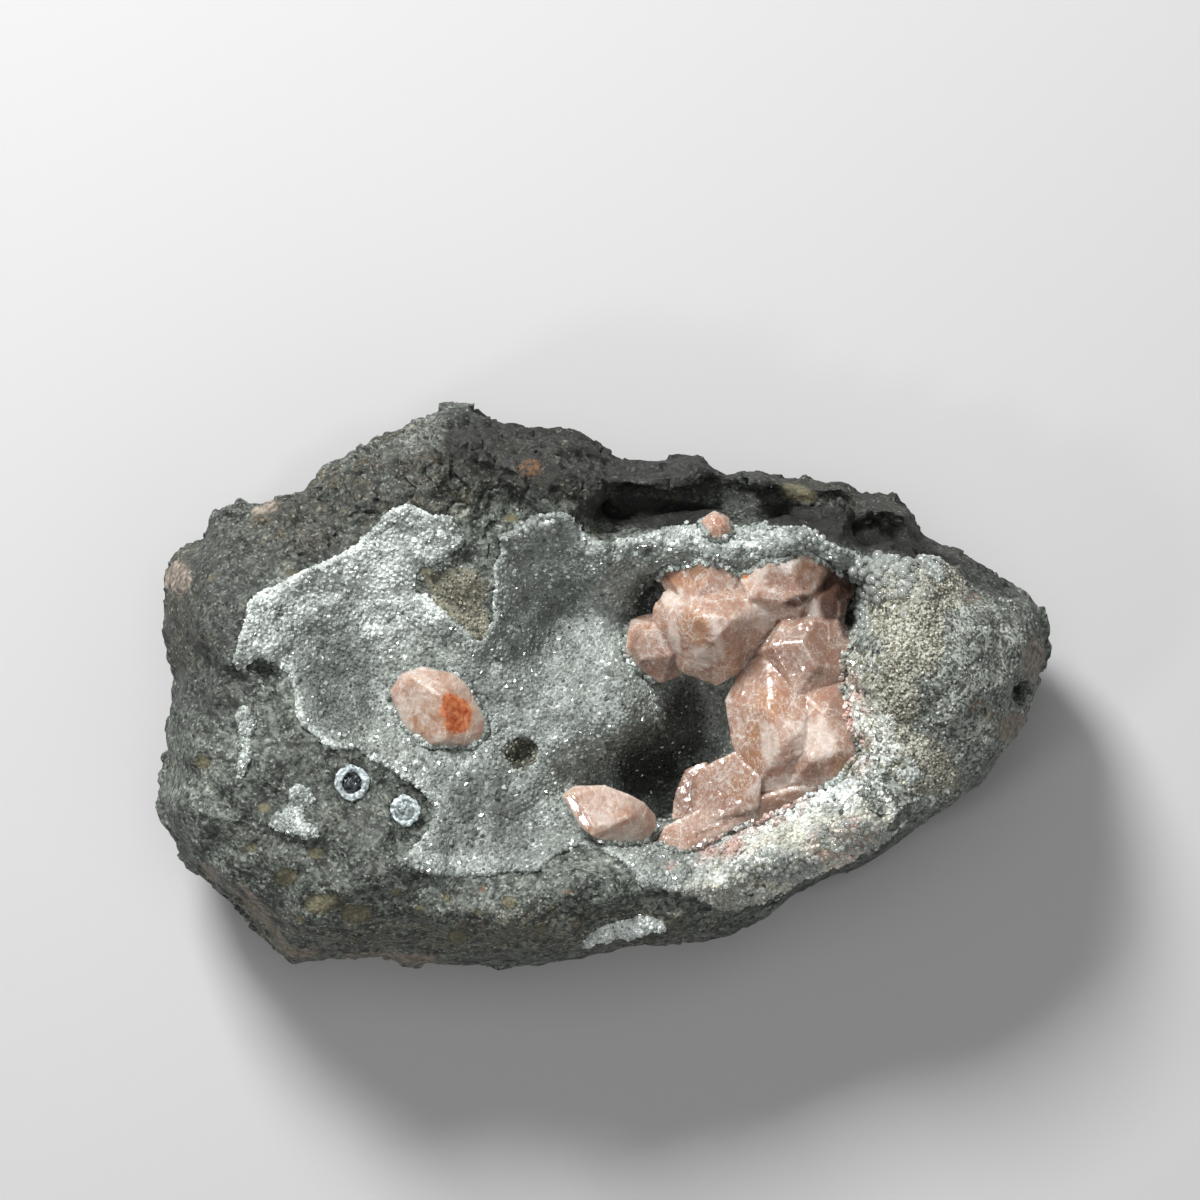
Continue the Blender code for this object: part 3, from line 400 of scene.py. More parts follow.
lath = grain.step(0.93, 0.97) * (0.36 - dark * 0.30)
colour = basalt.mix(lath, colour, (0.48, 0.50, 0.47))
colour = basalt.mix(basalt.noise(1.1, 4).step(0.59, 0.66) * 0.65, colour, (0.014, 0.014, 0.012))
ragged = basalt.noise(0.7, 4) - 0.5
in_olive = (olive + ragged * 0.35).step(0.47, 0.52)
stretched = basalt.node("Mapping", {}, {"Vector": basalt.place, "Scale": (0.55, 1.0, 1.0)})
fill_cells = basalt.node("TexVoronoi", {}, {"Vector": stretched, "Scale": 1 / (2.6 * MM)})
fill_pick = basalt.node("TexVoronoi", {}, {"Vector": stretched, "Scale": 1 / (2.6 * MM)}, "Color")
fill_pick = basalt.node("SeparateColor", {}, {0: fill_pick}, 0)
fills = (fill_cells + ragged * 0.3).step(0.21, 0.15) * fill_pick.step(0.45, 0.50)
fills = fills * (1 - end) * (1 - dark * 0.7)
fill_colour = basalt.mix(fill_pick.step(0.7, 0.9), (0.020, 0.017, 0.011), (0.125, 0.108, 0.055))
colour = basalt.mix(fills * 0.75, colour, fill_colour)
rind = in_olive * (olive + ragged * 0.35).step(0.62, 0.52)
olive_grain = basalt.mix(grain * 0.6 + soft_grain * 0.4, (0.040, 0.036, 0.020), (0.20, 0.185, 0.115))
olive_grain = basalt.mix(rind * 0.6, olive_grain, (0.016, 0.014, 0.008))
colour = basalt.mix(in_olive * 0.9, colour, olive_grain)
in_pale = (pale + ragged * 0.5).step(0.46, 0.60) * (0.6 + grain * 0.35)
pale_grain = basalt.mix(basalt.noise(0.6, 4).step(0.3, 0.7), (0.10, 0.080, 0.060), (0.36, 0.305, 0.25))
colour = basalt.mix(in_pale, colour, pale_grain)
basalt.feed("Base Color", colour)
basalt.feed("Roughness", 0.52 + grain * 0.4)
basalt.bump(grain * 0.45 + soft_grain * 0.7 + basalt.noise(0.16, 2) * 0.3, 0.30)
basalt.cover(basalt_piece, "basalt")
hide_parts("basalt_matrix")

# The analcime: a druse of small glassy crystals grown shoulder to shoulder over the hollow, on a thin bed of
# the same mineral. The patches and the streak beside it are thinner films of it, with smaller grains.
DRUSE = {  # spacing of the grains, voxel and smoothing of the bed, and brightness outside the zones
    "analcime_crust": (0.43, 0.40, 5, 0.36),
    "analcime_patch_at_lower_edge": (0.42, 0.20, 2, 0.72),
    "analcime_patch_by_vesicles": (0.36, 0.16, 3, 0.46),
    "analcime_streak_at_left": (0.34, 0.16, 3, 0.46),
}
ZONES = (  # brightness and the ellipses that have it, partly the druse's own whiteness and partly painted light and shade
    (0.64, (-36, 8, 5, 7, -25), (-24, 15, 9, 5, 30), (-22, 9, 8, 4, 20)),
    (0.38, (-30, 4, 6, 5, 0)),
    (0.26, (-12, -16, 10, 5, 0)),
    (0.17, (-29, 0.5, 4, 6, 10), (-12.5, -13.0, 4.0, 5.0, 0)),
    (0.36, (-6, 9, 5, 7, 0), (-9.5, 14, 3, 3, 0), (2, 11, 3, 5, 0)),
    (0.24, (-5.5, 8.0, 2.5, 4.0, -20)),
    (0.31, (-15, -1, 5, 6, 20), (-6, 0, 6, 5, 0)),
    (0.48, (-8, 17, 4, 1.4, 30), (10, 17.2, 15, 1.8, -2), (0, -20.0, 5, 2.5, 0)),
    (
        0.58, (-12.4, 12.5, 1.1, 6.5, 0), (-34.4, 0, 4.4, 1.3, -75), (-31.6, -5.0, 3.4, 0.8, -35),
        (-27, -7.3, 3.6, 0.8, -23),
    ),
    (0.58, (-22, -10.0, 3.8, 1.5, -38), (-20.3, -15.2, 1.6, 3.6, 0), (-38.6, 6.0, 1.4, 3.0, 20)),
    (0.36, (-14, -19.4, 6, 1.2, -8)),
    (0.74, (24, -16, 14, 6, 25), (30, -8, 5, 9, 20)),
    (0.42, (31, 6, 6, 8, -20)),
    (0.95, (18.2, -18.3, 1.6, 1.4, 0), (37.9, -11.6, 1.8, 1.6, 20)),
    (0.20, (-4.5, 9.5, 2.2, 3.4, -20), (-6.0, 5.0, 3.0, 1.6, 10)),
    # These last two rows are painted shade: the druse made near-black deep in the pockets beside the cluster.
    (0.03, (5.5, -8.5, 4.5, 5.0, 0), (28.0, 10.8, 2.0, 2.6, 0), (9.5, -4, 3, 5, 0)),
    (0.15, (5, 10.6, 1.6, 2.6, 0)),
)
DARKEST = np.array((0.028, 0.030, 0.026))
GREY = np.array((0.30, 0.332, 0.308))
WHITE = np.array((0.86, 0.92, 0.89))
CREAM = np.array((0.58, 0.57, 0.465))
OLIVE = np.array((0.12, 0.115, 0.075))
ROSE = np.array((0.66, 0.40, 0.33))
RED = np.array((0.50, 0.17, 0.11))


def tinted(points, normals, number, level=0.36):
    """The tint of the druse at each point, from dark grey glass to cloudy white, with cream and rose, and
    painted light and shade.
    """
    random = np.random.RandomState(100 + number)
    share = np.full(len(points), level)
    for brightness, *ellipses in ZONES:
        share = share + (brightness - share) * soft(points, *ellipses)
    # Steeper sides are painted lighter: painted light on the slopes of the druse.
    share = share * (1 + 0.3 * np.clip(0.75 - normals[:, 2], 0, 0.5))
    share = share * (1 + 0.42 * cloudy(points, 2.4, 40 + number, 5))
    share = share * random.uniform(0.50, 1.50, len(points)) ** (1.1 - share).clip(0.3, 1)
    # A few grains are darker, and a few much brighter: painted glints.
    odd = random.random_sample(len(points))
    share = np.where(odd < 0.07, share * 0.4, np.where(odd > 0.975, share + 0.4, share))
    share = np.clip(share, 0, 1)[:, None]
    tints = np.where(
        share < 0.45,
        DARKEST + (GREY - DARKEST) * share / 0.45,
        GREY + (WHITE - GREY) * (share - 0.45) / 0.55,
    )
    patches = np.clip(0.5 + 1.4 * cloudy(points, 2.2, 60 + number), 0, 1)[:, None]
    creamy = soft(points, (33, 3, 6, 12, 0), (22, -19, 16, 5, 25))[:, None] * (0.35 + 0.65 * patches)
    dotted = soft(points, (31.5, 6, 5.5, 8, -15), (30, -8, 4, 5, 0), (20, -20, 6, 2.0, 25))[:, None]
    dotted = dotted * (random.random_sample(share.shape) < 0.28)
    rosy = soft(points, (27.5, -3, 2.4, 7, 10), (17, -15.5, 8, 2.2, 25), (27, -17, 5, 3, 20))[:, None]
    rosy = rosy * (1 - patches)
    red = soft(points, (22.6, -12.8, 0.4, 0.4, 0), (7.7, -19.4, 0.8, 0.6, 0), (27.6, -2.6, 0.5, 1.4, 10))
    red = red[:, None]
    tints = tints + (CREAM * (0.25 + 0.9 * share) - tints) * creamy * 0.85
    tints = tints + (ROSE * (0.35 + 0.6 * share) - tints) * rosy * 0.8
    tints = tints + (OLIVE * random.uniform(0.4, 1.6, share.shape) - tints) * dotted * 0.9
    tints = tints + (RED - tints) * red * random.uniform(0.0, 0.4, share.shape)
    return tints.clip(0, 0.95)


def dodecahedron():
    """The corners and faces of a rhombic dodecahedron, which a small analcime grain looks like."""
    poles = [Vector(s * v for v in axis) for axis in ((1, 0, 0), (0, 1, 0), (0, 0, 1)) for s in (1, -1)]
    corners = [Vector(c) - Vector((1, 1, 1)) for c in np.ndindex(3, 3, 3) if 1 not in c]
    corners = [corner / 2 for corner in corners]
    faces = []
    for first, one in enumerate(poles):
        for second in range(first + 1, 6):
            two = poles[second]
            if one.dot(two) < -0.5:
                continue
            ends = [6 + n for n, corner in enumerate(corners) if corner.dot(one) > 0 and corner.dot(two) > 0]
            outwards = (corners[ends[0] - 6] - one).cross(two - one).dot(one + two)
            left, right = ends if outwards > 0 else ends[::-1]
            faces.append((first, left, second, right))
    return np.array(poles + corners), np.array(faces)


GRAIN_POINTS, GRAIN_FACES = dodecahedron()


def thinned(points, spacing, seed):
    """Picks points in random order, each at least its spacing away from those picked before."""
    order = np.random.RandomState(seed).permutation(len(points))
    cell = float(spacing.max())
    homes = np.floor(points / cell).astype(int)
    taken = {}
    picked = []
    beside = [(dx, dy, dz) for dx in (-1, 0, 1) for dy in (-1, 0, 1) for dz in (-1, 0, 1)]
    places = points.tolist()
    for index in order.tolist():
        x, y, z = places[index]
        home = homes[index]
        limit = spacing[index] ** 2
        if all(
            (x - a) ** 2 + (y - b) ** 2 + (z - c) ** 2 > limit
            for dx, dy, dz in beside
            for a, b, c in taken.get((home[0] + dx, home[1] + dy, home[2] + dz), ())
        ):
            taken.setdefault(tuple(home), []).append((x, y, z))
            picked.append(index)
    return np.array(picked)


def grains(name, centres, sizes, tints, seed):
    """One mesh of many analcime grains, each turned its own way and with a tint of its own."""
    pick = np.random.RandomState(seed)
    turns = np.array([Euler(pick.uniform(0, 6.28, 3)).to_matrix() for _ in centres])
    stretch = pick.uniform(0.85, 1.2, (len(centres), 1, 3))
    corners = np.einsum("nij,nkj->nki", turns, GRAIN_POINTS[None] * stretch * sizes[:, None, None])
    corners = (corners + centres[:, None]).reshape(-1, 3)
    faces = (GRAIN_FACES[None] + len(GRAIN_POINTS) * np.arange(len(centres))[:, None, None]).reshape(-1, 4)
    mesh = bpy.data.meshes.new(name)
    mesh.from_pydata((corners * MM).tolist(), [], faces.tolist())
    piece = bpy.data.objects.new(name, mesh)
    bpy.context.scene.collection.objects.link(piece)
    paint(piece, "tint", *np.repeat(tints, len(GRAIN_POINTS), axis=0).T)
    return piece


def in_batches(name, centres, sizes, tints, finish, most=7500):
    """Grains in as many pieces as keeps each one's mesh small, split along the specimen."""
    order = np.argsort(centres[:, 0])
    for batch, part in enumerate(np.array_split(order, math.ceil(len(order) / most))):
        piece = grains(f"{name}_{batch}", centres[part], sizes[part], tints[part], 60 + batch)
        finish.cover(piece, "analcime")


analcime = Finish(
    "analcime_grains",
    {
        "Roughness": 0.14, "IOR": 1.49, "Specular IOR Level": 0.6, "Subsurface Weight": 0.3,
        "Subsurface Radius": (0.4, 0.4, 0.38), "Subsurface Scale": MM,
    },
)
tint = analcime.node("Attribute", {"attribute_name": "tint"}, output="Color")
milky = analcime.noise(0.22, 2).step(0.36, 0.64) * 0.6 + 0.6
analcime.feed("Base Color", analcime.node("VectorMath", {"operation": "SCALE"}, {0: tint, "Scale": milky}))

analcime_bed = Finish("analcime_bed", {"Roughness": 0.3, "IOR": 1.49})
bed_tint = analcime_bed.node("Attribute", {"attribute_name": "tint"}, output="Color")
bed_grain = analcime_bed.noise(0.4, 3)
# Noisy darker patches on the bed: painted shade between the grains.
bed_painted_shade = bed_grain.step(0.62, 0.38) * 0.5
analcime_bed.feed("Base Color", analcime_bed.mix(bed_painted_shade, bed_tint, (0.05, 0.055, 0.05)))
analcime_bed.bump(bed_grain, 0.22)

for number, (node, (spacing, voxel, rounds, level)) in enumerate(DRUSE.items()):
    bed = surface_of(node, node + "_bed")
    shaped(bed, "REMESH", mode="VOXEL", voxel_size=voxel * MM)
    shaped(bed, "SMOOTH", factor=0.5, iterations=rounds)
    only(bed)
    bpy.ops.object.shade_smooth()
    points, normals = points_and_normals(bed)
    if node == "analcime_crust":
        lumpy = 0.18 + 0.3 * soft(points, (28, -6, 10, 16, 20), (20, -18, 14, 6, 20), (2, 17.5, 26, 3, 0))
        swelling = lumpy * (cloudy(points, 1.8, 8) + 0.6 * chipped(points, 2.4, 9)) * (normals[:, 2] > 0)
    else:
        swelling = 0.46 + 0.34 * cloudy(points, 0.9, 8)
        normals = normals * (1, 1, 0.1)
    move_points(bed, points + normals * swelling[:, None])
    points, normals = points_and_normals(bed)
    paint(bed, "tint", *tinted(points, normals, number, level).T)
    analcime_bed.cover(bed, "analcime")
    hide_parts(node)
    points, normals = sprinkled(bed, 140000 if node == "analcime_crust" else 5000, number)
    shown = normals[:, 2] > 0.02
    points, normals = points[shown], normals[shown]
    coarse = soft(points, (-12.5, -13, 4, 5, 0))
    spacings = spacing * (1 + 0.25 * cloudy(points, 4.0, 20 + number) + 0.6 * coarse)
    kept = thinned(points, spacings, 30 + number)
    points, normals, spacings = points[kept], normals[kept], spacings[kept]
    random = np.random.RandomState(50 + number)
    sizes = spacings * random.uniform(0.52, 0.95, len(points))
    sizes = np.where(random.random_sample(len(points)) < 0.04, sizes * 1.6, sizes)
    tints = tinted(points, normals, number, level)
    in_batches(node + "_grains", points - normals * (0.45 * sizes)[:, None], sizes, tints, analcime)

# Two gas holes of the basalt, each with a rounded bluish rim of analcime and a glassy fill.
RINGS = {  # middle radius, thickness, height of the fill, how deep it lies and its tint
    "vesicle_lining_upper": (1.56, 0.42, 0.25, 0.45, (0.018, 0.022, 0.025)),
    "vesicle_lining_lower": (1.36, 0.34, 0.45, 0.10, (0.20, 0.23, 0.23)),
}
rim = Finish(
    "analcime_rim",
    {
        "Roughness": 0.2, "IOR": 1.49, "Subsurface Weight": 0.3, "Subsurface Radius": (0.5, 0.5, 0.5),
        "Subsurface Scale": MM,
    },
)
rim_tint = rim.node("Attribute", {"attribute_name": "tint"}, output="Color")
clouded = rim.noise(0.4, 4).step(0.35, 0.65) * 0.9 + 0.5
rim.feed("Base Color", rim.node("VectorMath", {"operation": "SCALE"}, {0: rim_tint, "Scale": clouded}))
rim.bump(rim.noise(0.3, 3), 0.12)

for node, (middle, thickness, height, depth, fill_tint) in RINGS.items():
    marks = np.array([v.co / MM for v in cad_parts[node].data.vertices])
    centre = (marks.max(axis=0) + marks.min(axis=0)) / 2
    upright = Vector(np.linalg.svd(marks - marks.mean(axis=0), full_matrices=False)[2][2])
    upright = upright if upright.z > 0 else -upright
    turn = Vector((0, 0, 1)).rotation_difference(upright).to_matrix()
    bpy.ops.object.select_all(action="DESELECT")
    bpy.ops.mesh.primitive_torus_add(
        major_radius=middle * MM, minor_radius=thickness * MM, major_segments=96, minor_segments=24,
    )
    ring = bpy.context.active_object
    ring.name = node + "_rim"
    bpy.ops.mesh.primitive_uv_sphere_add(segments=48, ring_count=24, radius=(middle - 0.1) * MM)
    fill = bpy.context.active_object
    fill.name = node + "_fill"
    for piece, flat, low, tint in (
        (ring, 0.6, 0, (0.36, 0.41, 0.42)),
        (fill, height / middle, depth, fill_tint),
    ):
        points, normals = points_and_normals(piece)
        points = points * (1, 1, flat) - (0, 0, low)
        wobble = 0.20 * cloudy(points + centre, 1.1, 12) + 0.10 * cloudy(points + centre, 0.45, 13)
        points = (points + normals * wobble[:, None]) @ np.array(turn).T + centre
        move_points(piece, points)
        only(piece)
        bpy.ops.object.shade_smooth()
        tints = np.array(tint) * (1 + 0.45 * cloudy(points, 0.7, 14))[:, None]
        paint(piece, "tint", *tints.clip(0, 0.95).T)
        rim.cover(piece, "analcime")
    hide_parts(node)

# The gmelinite: salmon crystals with a glassy surface, cloudy inside, with white veils and orange zones. They
# are short and six-sided. Those of the cluster have grown into each other, and all are rooted in the druse.
GMELINITE = {  # voxel and unevenness of the faces
    "gmelinite_cluster": (0.21, 0.11),
    "gmelinite_crystal_left": (0.13, 0.05),
    "gmelinite_crystal_lower": (0.13, 0.05),
    "gmelinite_crystal_at_top": (0.10, 0.04),
}


def along_edges(node, points, reach):
    """How near each point is to the ridges and to the creases of a solid, as two values of 0 to 1."""
    edges = bmesh.new()
    edges.from_mesh(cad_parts[node].data)
    bmesh.ops.remove_doubles(edges, verts=edges.verts, dist=0.001 * MM)
    nearness = []
    for sign in (1, -1):
        marks = [
            edge.verts[0].co.lerp(edge.verts[1].co, step) / MM
            for edge in edges.edges
            if len(edge.link_faces) == 2 and sign * edge.calc_face_angle_signed() > math.radians(18)
            for step in np.linspace(0, 1, 2 + int(edge.calc_length() / MM / 0.15))
        ]
        gaps = distances_to(marks, points) if marks else np.full(len(points), 9.0)
        nearness.append(np.exp(-((gaps / reach) ** 2)))
    edges.free()
    return nearness


gmelinite = Finish(
    "gmelinite",
    {
        "IOR": 1.48, "Transmission Weight": 0.30, "Specular IOR Level": 0.6, "Coat Roughness": 0.05,
        "Subsurface Weight": 0.6, "Subsurface Radius": (2.6, 1.7, 1.3), "Subsurface Scale": MM,
    },
)
orange, white, shade = gmelinite.painted("zones")
ridge, crease, amber = gmelinite.painted("edges")
cloud = gmelinite.noise(2.6, 5)
fine = gmelinite.noise(0.7, 4)
turned = gmelinite.node(
    "Mapping", {}, {"Vector": gmelinite.place, "Rotation": (0.5, 0.3, 0.35), "Scale": (1.0, 0.28, 0.5)},
)
streaks = gmelinite.node("TexNoise", {}, {"Vector": turned, "Scale": 1 / (0.85 * MM), "Detail": 5.0})
veils = gmelinite.node(
    "TexNoise", {}, {"Vector": gmelinite.place, "Scale": 1 / (3.0 * MM), "Detail": 4.0, "Distortion": 0.8},
)
shifts = gmelinite.noise(1.6, 3, output="Color")
shifted = gmelinite.node("VectorMath", {"operation": "SCALE"}, {0: shifts, "Scale": 1.6 * MM})
shifted = gmelinite.node("VectorMath", {"operation": "ADD"}, {0: gmelinite.place, 1: shifted})
breaks = gmelinite.node(
    "TexVoronoi", {"feature": "DISTANCE_TO_EDGE"}, {"Vector": shifted, "Scale": 1 / (2.2 * MM)}, "Distance",
)
small_breaks = gmelinite.node(
    "TexVoronoi", {"feature": "DISTANCE_TO_EDGE"}, {"Vector": shifted, "Scale": 1 / (0.9 * MM)}, "Distance",
)
thin_veils = (veils - 0.5).maths("ABSOLUTE", veils - 0.5).step(0.035, 0.0)
thin_streaks = (streaks - 0.52).maths("ABSOLUTE", streaks - 0.52).step(0.03, 0.0)
frost = gmelinite.noise(0.26, 3)
colour = gmelinite.mix(cloud.step(0.34, 0.66), (0.395, 0.215, 0.146), (0.505, 0.338, 0.254))
colour = gmelinite.mix(frost.step(0.42, 0.72) * 0.32, colour, (0.62, 0.52, 0.455))
colour = gmelinite.mix((amber * (0.6 + cloud * 0.8)).step(0.30, 0.95) * 0.6, colour, (0.43, 0.215, 0.105))
# Creases between faces are darker and redder: reddish seams and painted shade in them.
colour = gmelinite.mix(crease * 0.5, colour, (0.28, 0.12, 0.075))
milky = (white * 0.7 + veils * 1.2 + streaks * 0.7 + fine * 0.5 - 1.35).step(0.0, 0.8)
colour = gmelinite.mix(milky * 0.75, colour, (0.76, 0.665, 0.59))
lines = (thin_veils * 0.3 + thin_streaks * 0.45) * fine.step(0.40, 0.62)
lines = lines + breaks.step(0.05, 0.0) * cloud.step(0.42, 0.56) * 0.65
lines = lines + small_breaks.step(0.09, 0.0) * veils.step(0.44, 0.58) * (fine.step(0.35, 0.6) * 0.6)
colour = gmelinite.mix(lines, colour, (0.78, 0.71, 0.65))
# Ridges are painted whitish: worn, crackled edges and a painted highlight along them.
colour = gmelinite.mix(ridge * (fine + cloud * 0.5).step(0.5, 0.9) * 0.55, colour, (0.85, 0.78, 0.72))
colour = gmelinite.mix(shade * (0.75 + cloud * 0.4), colour, (0.070, 0.032, 0.022))
red_specks = gmelinite.cells(1.3).step(0.13, 0.07) * gmelinite.noise(2.0, 2).step(0.5, 0.6)
colour = gmelinite.mix(red_specks * 0.5, colour, (0.30, 0.085, 0.05))
# Tiny white dots, left out of the shaded parts: painted glints on the faces.
painted_glints = gmelinite.cells(0.42).step(0.22, 0.12) * gmelinite.noise(1.3, 3).step(0.44, 0.58) * (1 - shade)
colour = gmelinite.mix(painted_glints * 0.8, colour, (0.95, 0.91, 0.87))
ragged = gmelinite.noise(0.55, 4) - 0.5
deep_orange = gmelinite.mix(fine.step(0.30, 0.66), (0.46, 0.060, 0.012), (0.74, 0.27, 0.09))
halo = (orange + ragged * 0.2).step(0.25, 0.60) * 0.35
colour = gmelinite.mix(halo, colour, (0.60, 0.28, 0.12))
colour = gmelinite.mix((orange + ragged * 0.35).step(0.46, 0.58) * 0.92, colour, deep_orange)
mirror = gmelinite.painted("mirror")[0].step(0.5, 0.56)
along = gmelinite.node(
    "Mapping", {"vector_type": "TEXTURE"},
    {"Vector": gmelinite.place, "Rotation": (0, 0, -1.05), "Scale": (14.0, 1.0, 1.0)},
)
scratches = gmelinite.node("TexNoise", {}, {"Vector": along, "Scale": 1 / (0.35 * MM), "Detail": 2.0})
mirror = mirror * scratches.step(0.62, 0.50)
gmelinite.feed("Base Color", colour)
gmelinite.feed("Roughness", (0.08 + cloud * 0.18 + frost * 0.16) * (1 - mirror * 0.8))
gmelinite.feed("Coat Weight", 0.5 + mirror * 0.5)
gmelinite.bump((gmelinite.noise(0.5, 4) * 0.5 + streaks * 0.5 + frost * 0.3) * (1 - mirror), 0.08)

contacts = []
for number, (node, (voxel, unevenness)) in enumerate(GMELINITE.items()):
    piece = surface_of(node, node + "_surface")
    shaped(piece, "REMESH", mode="VOXEL", voxel_size=voxel * MM)
    points, normals = points_and_normals(piece)
    uneven = chipped(points, 2.6, 70 + number) + 0.5 * chipped(points, 0.9, 80 + number)
    move_points(piece, points + normals * (unevenness * uneven + 0.20)[:, None])
    only(piece)
    bpy.ops.object.shade_smooth_by_angle(angle=math.radians(20))
    points, normals = points_and_normals(piece)
    orange = spots(
        points, (-15.9, -2.4, 1.75, 1.5, 0), (-15.7, -3.6, 1.5, 1.3, 0), (-16.4, -1.5, 1.0, 1.2, 30),
        (16.0, 12.6, 0.4, 0.4, 0), (7.7, -19.5, 0.9, 0.6, 0),
        (27.3, -1.4, 0.5, 0.7, 0), (28.1, -3.4, 0.5, 0.7, 0),
    )
    white = soft(
        points, (23.5, -5.6, 3.0, 3.0, 0), (17.6, 8.0, 2.4, 1.6, -20), (16.6, 13.4, 2.0, 2.4, 60),
        (20.6, 14.4, 2.2, 2.0, 0),
        (-20.5, 0.9, 1.2, 1.6, 0), (8.3, 5.6, 0.7, 3.0, 10), (11.0, 3.6, 2.2, 1.4, 0),
        (18.8, -6.0, 1.2, 3.2, 10),
        (19.4, -10.4, 4.0, 0.8, 15), (24.0, 9.0, 1.6, 1.2, 0), (8.5, 10.0, 2.0, 1.0, 0),
        (13.0, 6.0, 0.6, 3.2, 12),
    )
    shade = soft(
        points, (26.4, 12.0, 2.4, 3.2, -10), (7.4, 13.6, 1.6, 1.6, 0),
        (27.4, 8.2, 1.2, 3.0, 0), (25.4, 9.4, 1.4, 2.2, 0), (21.8, 9.8, 1.8, 0.7, 15),
    )
    if node == "gmelinite_cluster":
        shade = np.maximum(shade, np.clip((22.5 - points[:, 2]) / 3, 0, 1))
    for darkness, *ellipses in (
        (0.50, (9.4, -11.0, 1.6, 3.6, 0), (4.2, 4.0, 1.0, 2.6, 0)),
        (0.40, (23.0, 4.6, 4.8, 3.8, 0), (9.5, 14.0, 4.0, 2.0, 0), (6.0, 3.8, 3.0, 3.0, 0)),
        (0.32, (20.5, -13.0, 8.0, 1.4, 12), (17.0, 2.6, 1.6, 2.6, 40), (22, 12.6, 5, 1.6, 0)),
        (0.24, (21.5, -9.0, 3.5, 1.6, 10), (26.5, -1.0, 2.0, 3.0, 0), (14.6, -10.6, 5.4, 4.0, 0)),
    ):
        shade = np.maximum(shade, darkness * soft(points, *ellipses))
    if node in ("gmelinite_crystal_left", "gmelinite_crystal_lower"):
        white = np.maximum(white, 0.75)
    smooth_face = spots(points, (-2.45, -13.4, 0.95, 3.1, 31)) if node == "gmelinite_crystal_lower" else 0
    paint(piece, "mirror", smooth_face)
    amber = soft(
        points, (10.6, 7.2, 1.6, 2.6, 15), (9.5, 13.2, 4.0, 2.4, 0), (19.0, -1.5, 2.0, 2.2, 0),
        (17.0, -8.0, 1.6, 1.4, 0),
        (-18.6, -3.0, 3.4, 3.0, 0), (27.0, -8.5, 1.6, 2.0, 0), (15.5, -11.0, 1.6, 1.8, 0),
        (14.6, 3.6, 1.6, 1.4, 30),
        (17.0, -4.6, 1.2, 1.6, 0), (22.5, 13.2, 1.2, 1.2, 0), (1.6, -14.6, 2.0, 1.2, 0),
    )
    paint(piece, "zones", orange, white, shade)
    ridge, crease = along_edges(node, points, 0.20)
    paint(piece, "edges", ridge * (1.0 if number == 0 else 0.5), crease, amber)
    gmelinite.cover(piece, "gmelinite")
    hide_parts(node)
    contacts.append((points, normals))

# Small analcime grains have also grown round the foot of each gmelinite crystal, where it leaves the druse,
# and loosely over the stone's broken right end and in its olive patch, where the druse has been knocked off.
bed_points, _ = points_and_normals(bpy.data.objects["analcime_crust_bed"])
points, normals = (np.concatenate(both) for both in zip(*contacts))
near = (distances_to(bed_points, points) < 0.62) & (points[:, 2] > 18)
points, normals = points[near], normals[near]
kept = thinned(points, np.full(len(points), 0.34), 90)
sizes = np.random.RandomState(91).uniform(0.24, 0.50, len(kept))
tints = tinted(points[kept], normals[kept], 91)
in_batches("analcime_grains_at_crystals", points[kept], sizes, tints, analcime)

points, normals = sprinkled(basalt_piece, 200000, 92)
random = np.random.RandomState(93)
bare = soft(
    points, (48.4, 3.2, 2.0, 3.0, 0), (45.6, -4.2, 2.2, 1.8, 40), (46.9, -0.4, 0.9, 1.1, 0),
    (44.5, 6, 2, 3, 0), (42.5, 14, 6, 3, -34),
) > 0.5
end = soft(points, *RIGHT_END) * (0.1 + 0.6 * cloudy(points, 2.2, 94)) * ~bare
cream = soft(points, *CREAM_END) * ~bare * (points[:, 1] < 14.2)
patch = soft(points, *OLIVE_PATCH, *DARK_HOLE)
wanted = np.maximum(np.maximum(end, patch), cream * 0.9)
there = (normals[:, 2] > 0.1) & (random.random_sample(len(points)) < wanted) & (points[:, 2] > 12)
points, normals, patch, cream = points[there], normals[there], patch[there], cream[there]
kept = thinned(points, np.full(len(points), 0.36), 95)
points, normals, patch, cream = points[kept], normals[kept], patch[kept, None], cream[kept, None]
sizes = random.uniform(0.14, 0.26, len(points))
tints = np.array((0.36, 0.385, 0.345)) * random.uniform(0.3, 1.2, (len(points), 1))
tints = tints + (CREAM * random.uniform(0.15, 1.0, (len(points), 1)) - tints) * (cream > 0.3)
olive_tints = np.array((0.21, 0.205, 0.155)) * random.uniform(0.2, 1.8, (len(points), 1))
tints = tints + (olive_tints - tints) * (patch > 0.3)
in_batches("analcime_grains_on_stone", points, sizes, tints.clip(0, 1), analcime_bed)

# Clear beads of analcime, rounder and larger than the grains of the druse, at the edge of the right hollow
# and beside crystals.
BEADS = (  # place, half width and half height of a patch of beads, and their radius
    ((31.2, 12.4), 3.4, 2.4, 0.62), ((28.6, 8.4), 1.3, 3.0, 0.50), ((6.0, 9.9), 0.8, 1.0, 0.42),
    ((5.4, -15.2), 0.9, 3.2, 0.34), ((24.0, 16.5), 3.0, 0.9, 0.45),
    ((-8.0, 17.8), 3.0, 0.8, 0.42), ((20.0, -19.5), 4.5, 1.8, 0.40), ((28.0, -16.2), 4.0, 1.8, 0.38),
)
clear = Finish(
    "analcime_beads",
    {"Base Color": (0.70, 0.74, 0.71, 1), "Roughness": 0.06, "IOR": 1.49, "Transmission Weight": 0.75},
)
clear.bump(clear.noise(0.4, 2), 0.05)

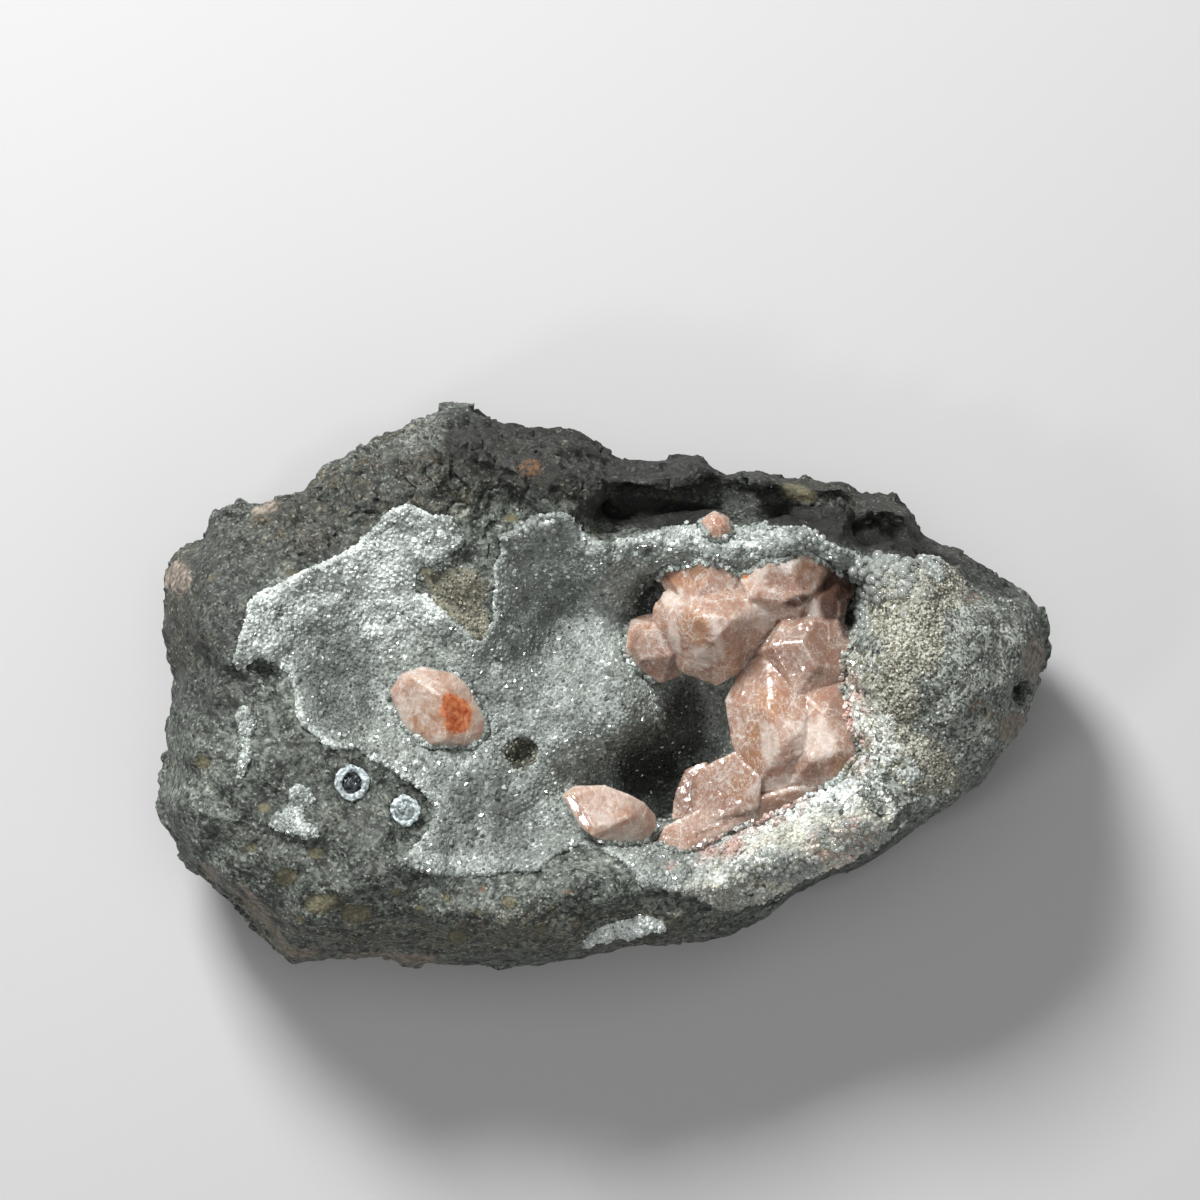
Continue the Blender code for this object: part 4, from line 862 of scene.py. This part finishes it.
bed_points, bed_normals = sprinkled(bpy.data.objects["analcime_crust_bed"], 90000, 96)
places, radii = [], []
random = np.random.RandomState(97)
for (x, y), half_width, half_height, radius in BEADS:
    inside = (spots(bed_points, (x, y, half_width, half_height, 0)) > 0.5) & (bed_normals[:, 2] > 0)
    points, normals = bed_points[inside], bed_normals[inside]
    kept = thinned(points, np.full(len(points), 1.35 * radius), 98)
    own = radius * random.uniform(0.65, 1.15, len(kept))
    places += (points[kept] + normals[kept] * (0.3 * own)[:, None]).tolist()
    radii += own.tolist()
shape = bmesh.new()
for place, radius in zip(places, radii):
    seat = Matrix.Translation(Vector(place) * MM)
    bmesh.ops.create_icosphere(shape, subdivisions=2, radius=radius * MM, matrix=seat)
for face in shape.faces:
    face.smooth = True
mesh = bpy.data.meshes.new("analcime_beads")
shape.to_mesh(mesh)
shape.free()
beads = bpy.data.objects.new("analcime_beads", mesh)
bpy.context.scene.collection.objects.link(beads)
clear.cover(beads, "analcime")

# The floor, the studio light and the camera, which looks straight down as the photograph does. The light
# falls softly from beyond the specimen's upper edge, so that edge shades the groove below it.
bpy.ops.mesh.primitive_plane_add(size=4)
floor = bpy.context.active_object
floor.name = "floor"
pale_floor = bpy.data.materials.new("pale_floor")
pale_floor.use_nodes = True
pale_floor.node_tree.nodes["Principled BSDF"].inputs["Base Color"].default_value = (0.42, 0.42, 0.42, 1)
pale_floor.node_tree.nodes["Principled BSDF"].inputs["Roughness"].default_value = 0.9
floor.data.materials.append(pale_floor)

world = bpy.data.worlds.new("studio")
bpy.context.scene.world = world
world.use_nodes = True
world.node_tree.nodes["Background"].inputs["Color"].default_value = (1, 1, 1, 1)
world.node_tree.nodes["Background"].inputs["Strength"].default_value = 0.12

for name, place, size, watts in (
    ("key", (-0.20, 0.40, 0.42), 0.16, 6.5),
    ("fill", (0.35, -0.30, 0.60), 0.50, 0.8),
    ("top", (0.0, 0.10, 0.80), 0.40, 1.6),
    ("left", (-0.275, -0.160, 0.42), 0.06, 0.35),
):
    lamp = bpy.data.lights.new(name, "AREA")
    lamp.size = size
    lamp.energy = watts
    lamp_object = bpy.data.objects.new(name, lamp)
    lamp_object.location = place
    lamp_object.rotation_euler = (Vector((0, 0, 0.02)) - Vector(place)).to_track_quat("-Z", "Y").to_euler()
    bpy.context.scene.collection.objects.link(lamp_object)

FRAME_WIDTH = 134.4  # what the picture spans at the height of the specimen's outline
OUTLINE_HEIGHT = 19.0
LENS = 220.0
camera = bpy.data.cameras.new("camera")
camera.lens = LENS
camera.sensor_width = 36.0
camera.clip_start = 0.01
camera_object = bpy.data.objects.new("camera", camera)
camera_object.location = (0.0, 9.9 * MM, (OUTLINE_HEIGHT + LENS / 36.0 * FRAME_WIDTH) * MM)
bpy.context.scene.collection.objects.link(camera_object)
bpy.context.scene.camera = camera_object
bpy.context.scene.view_settings.view_transform = "Standard"
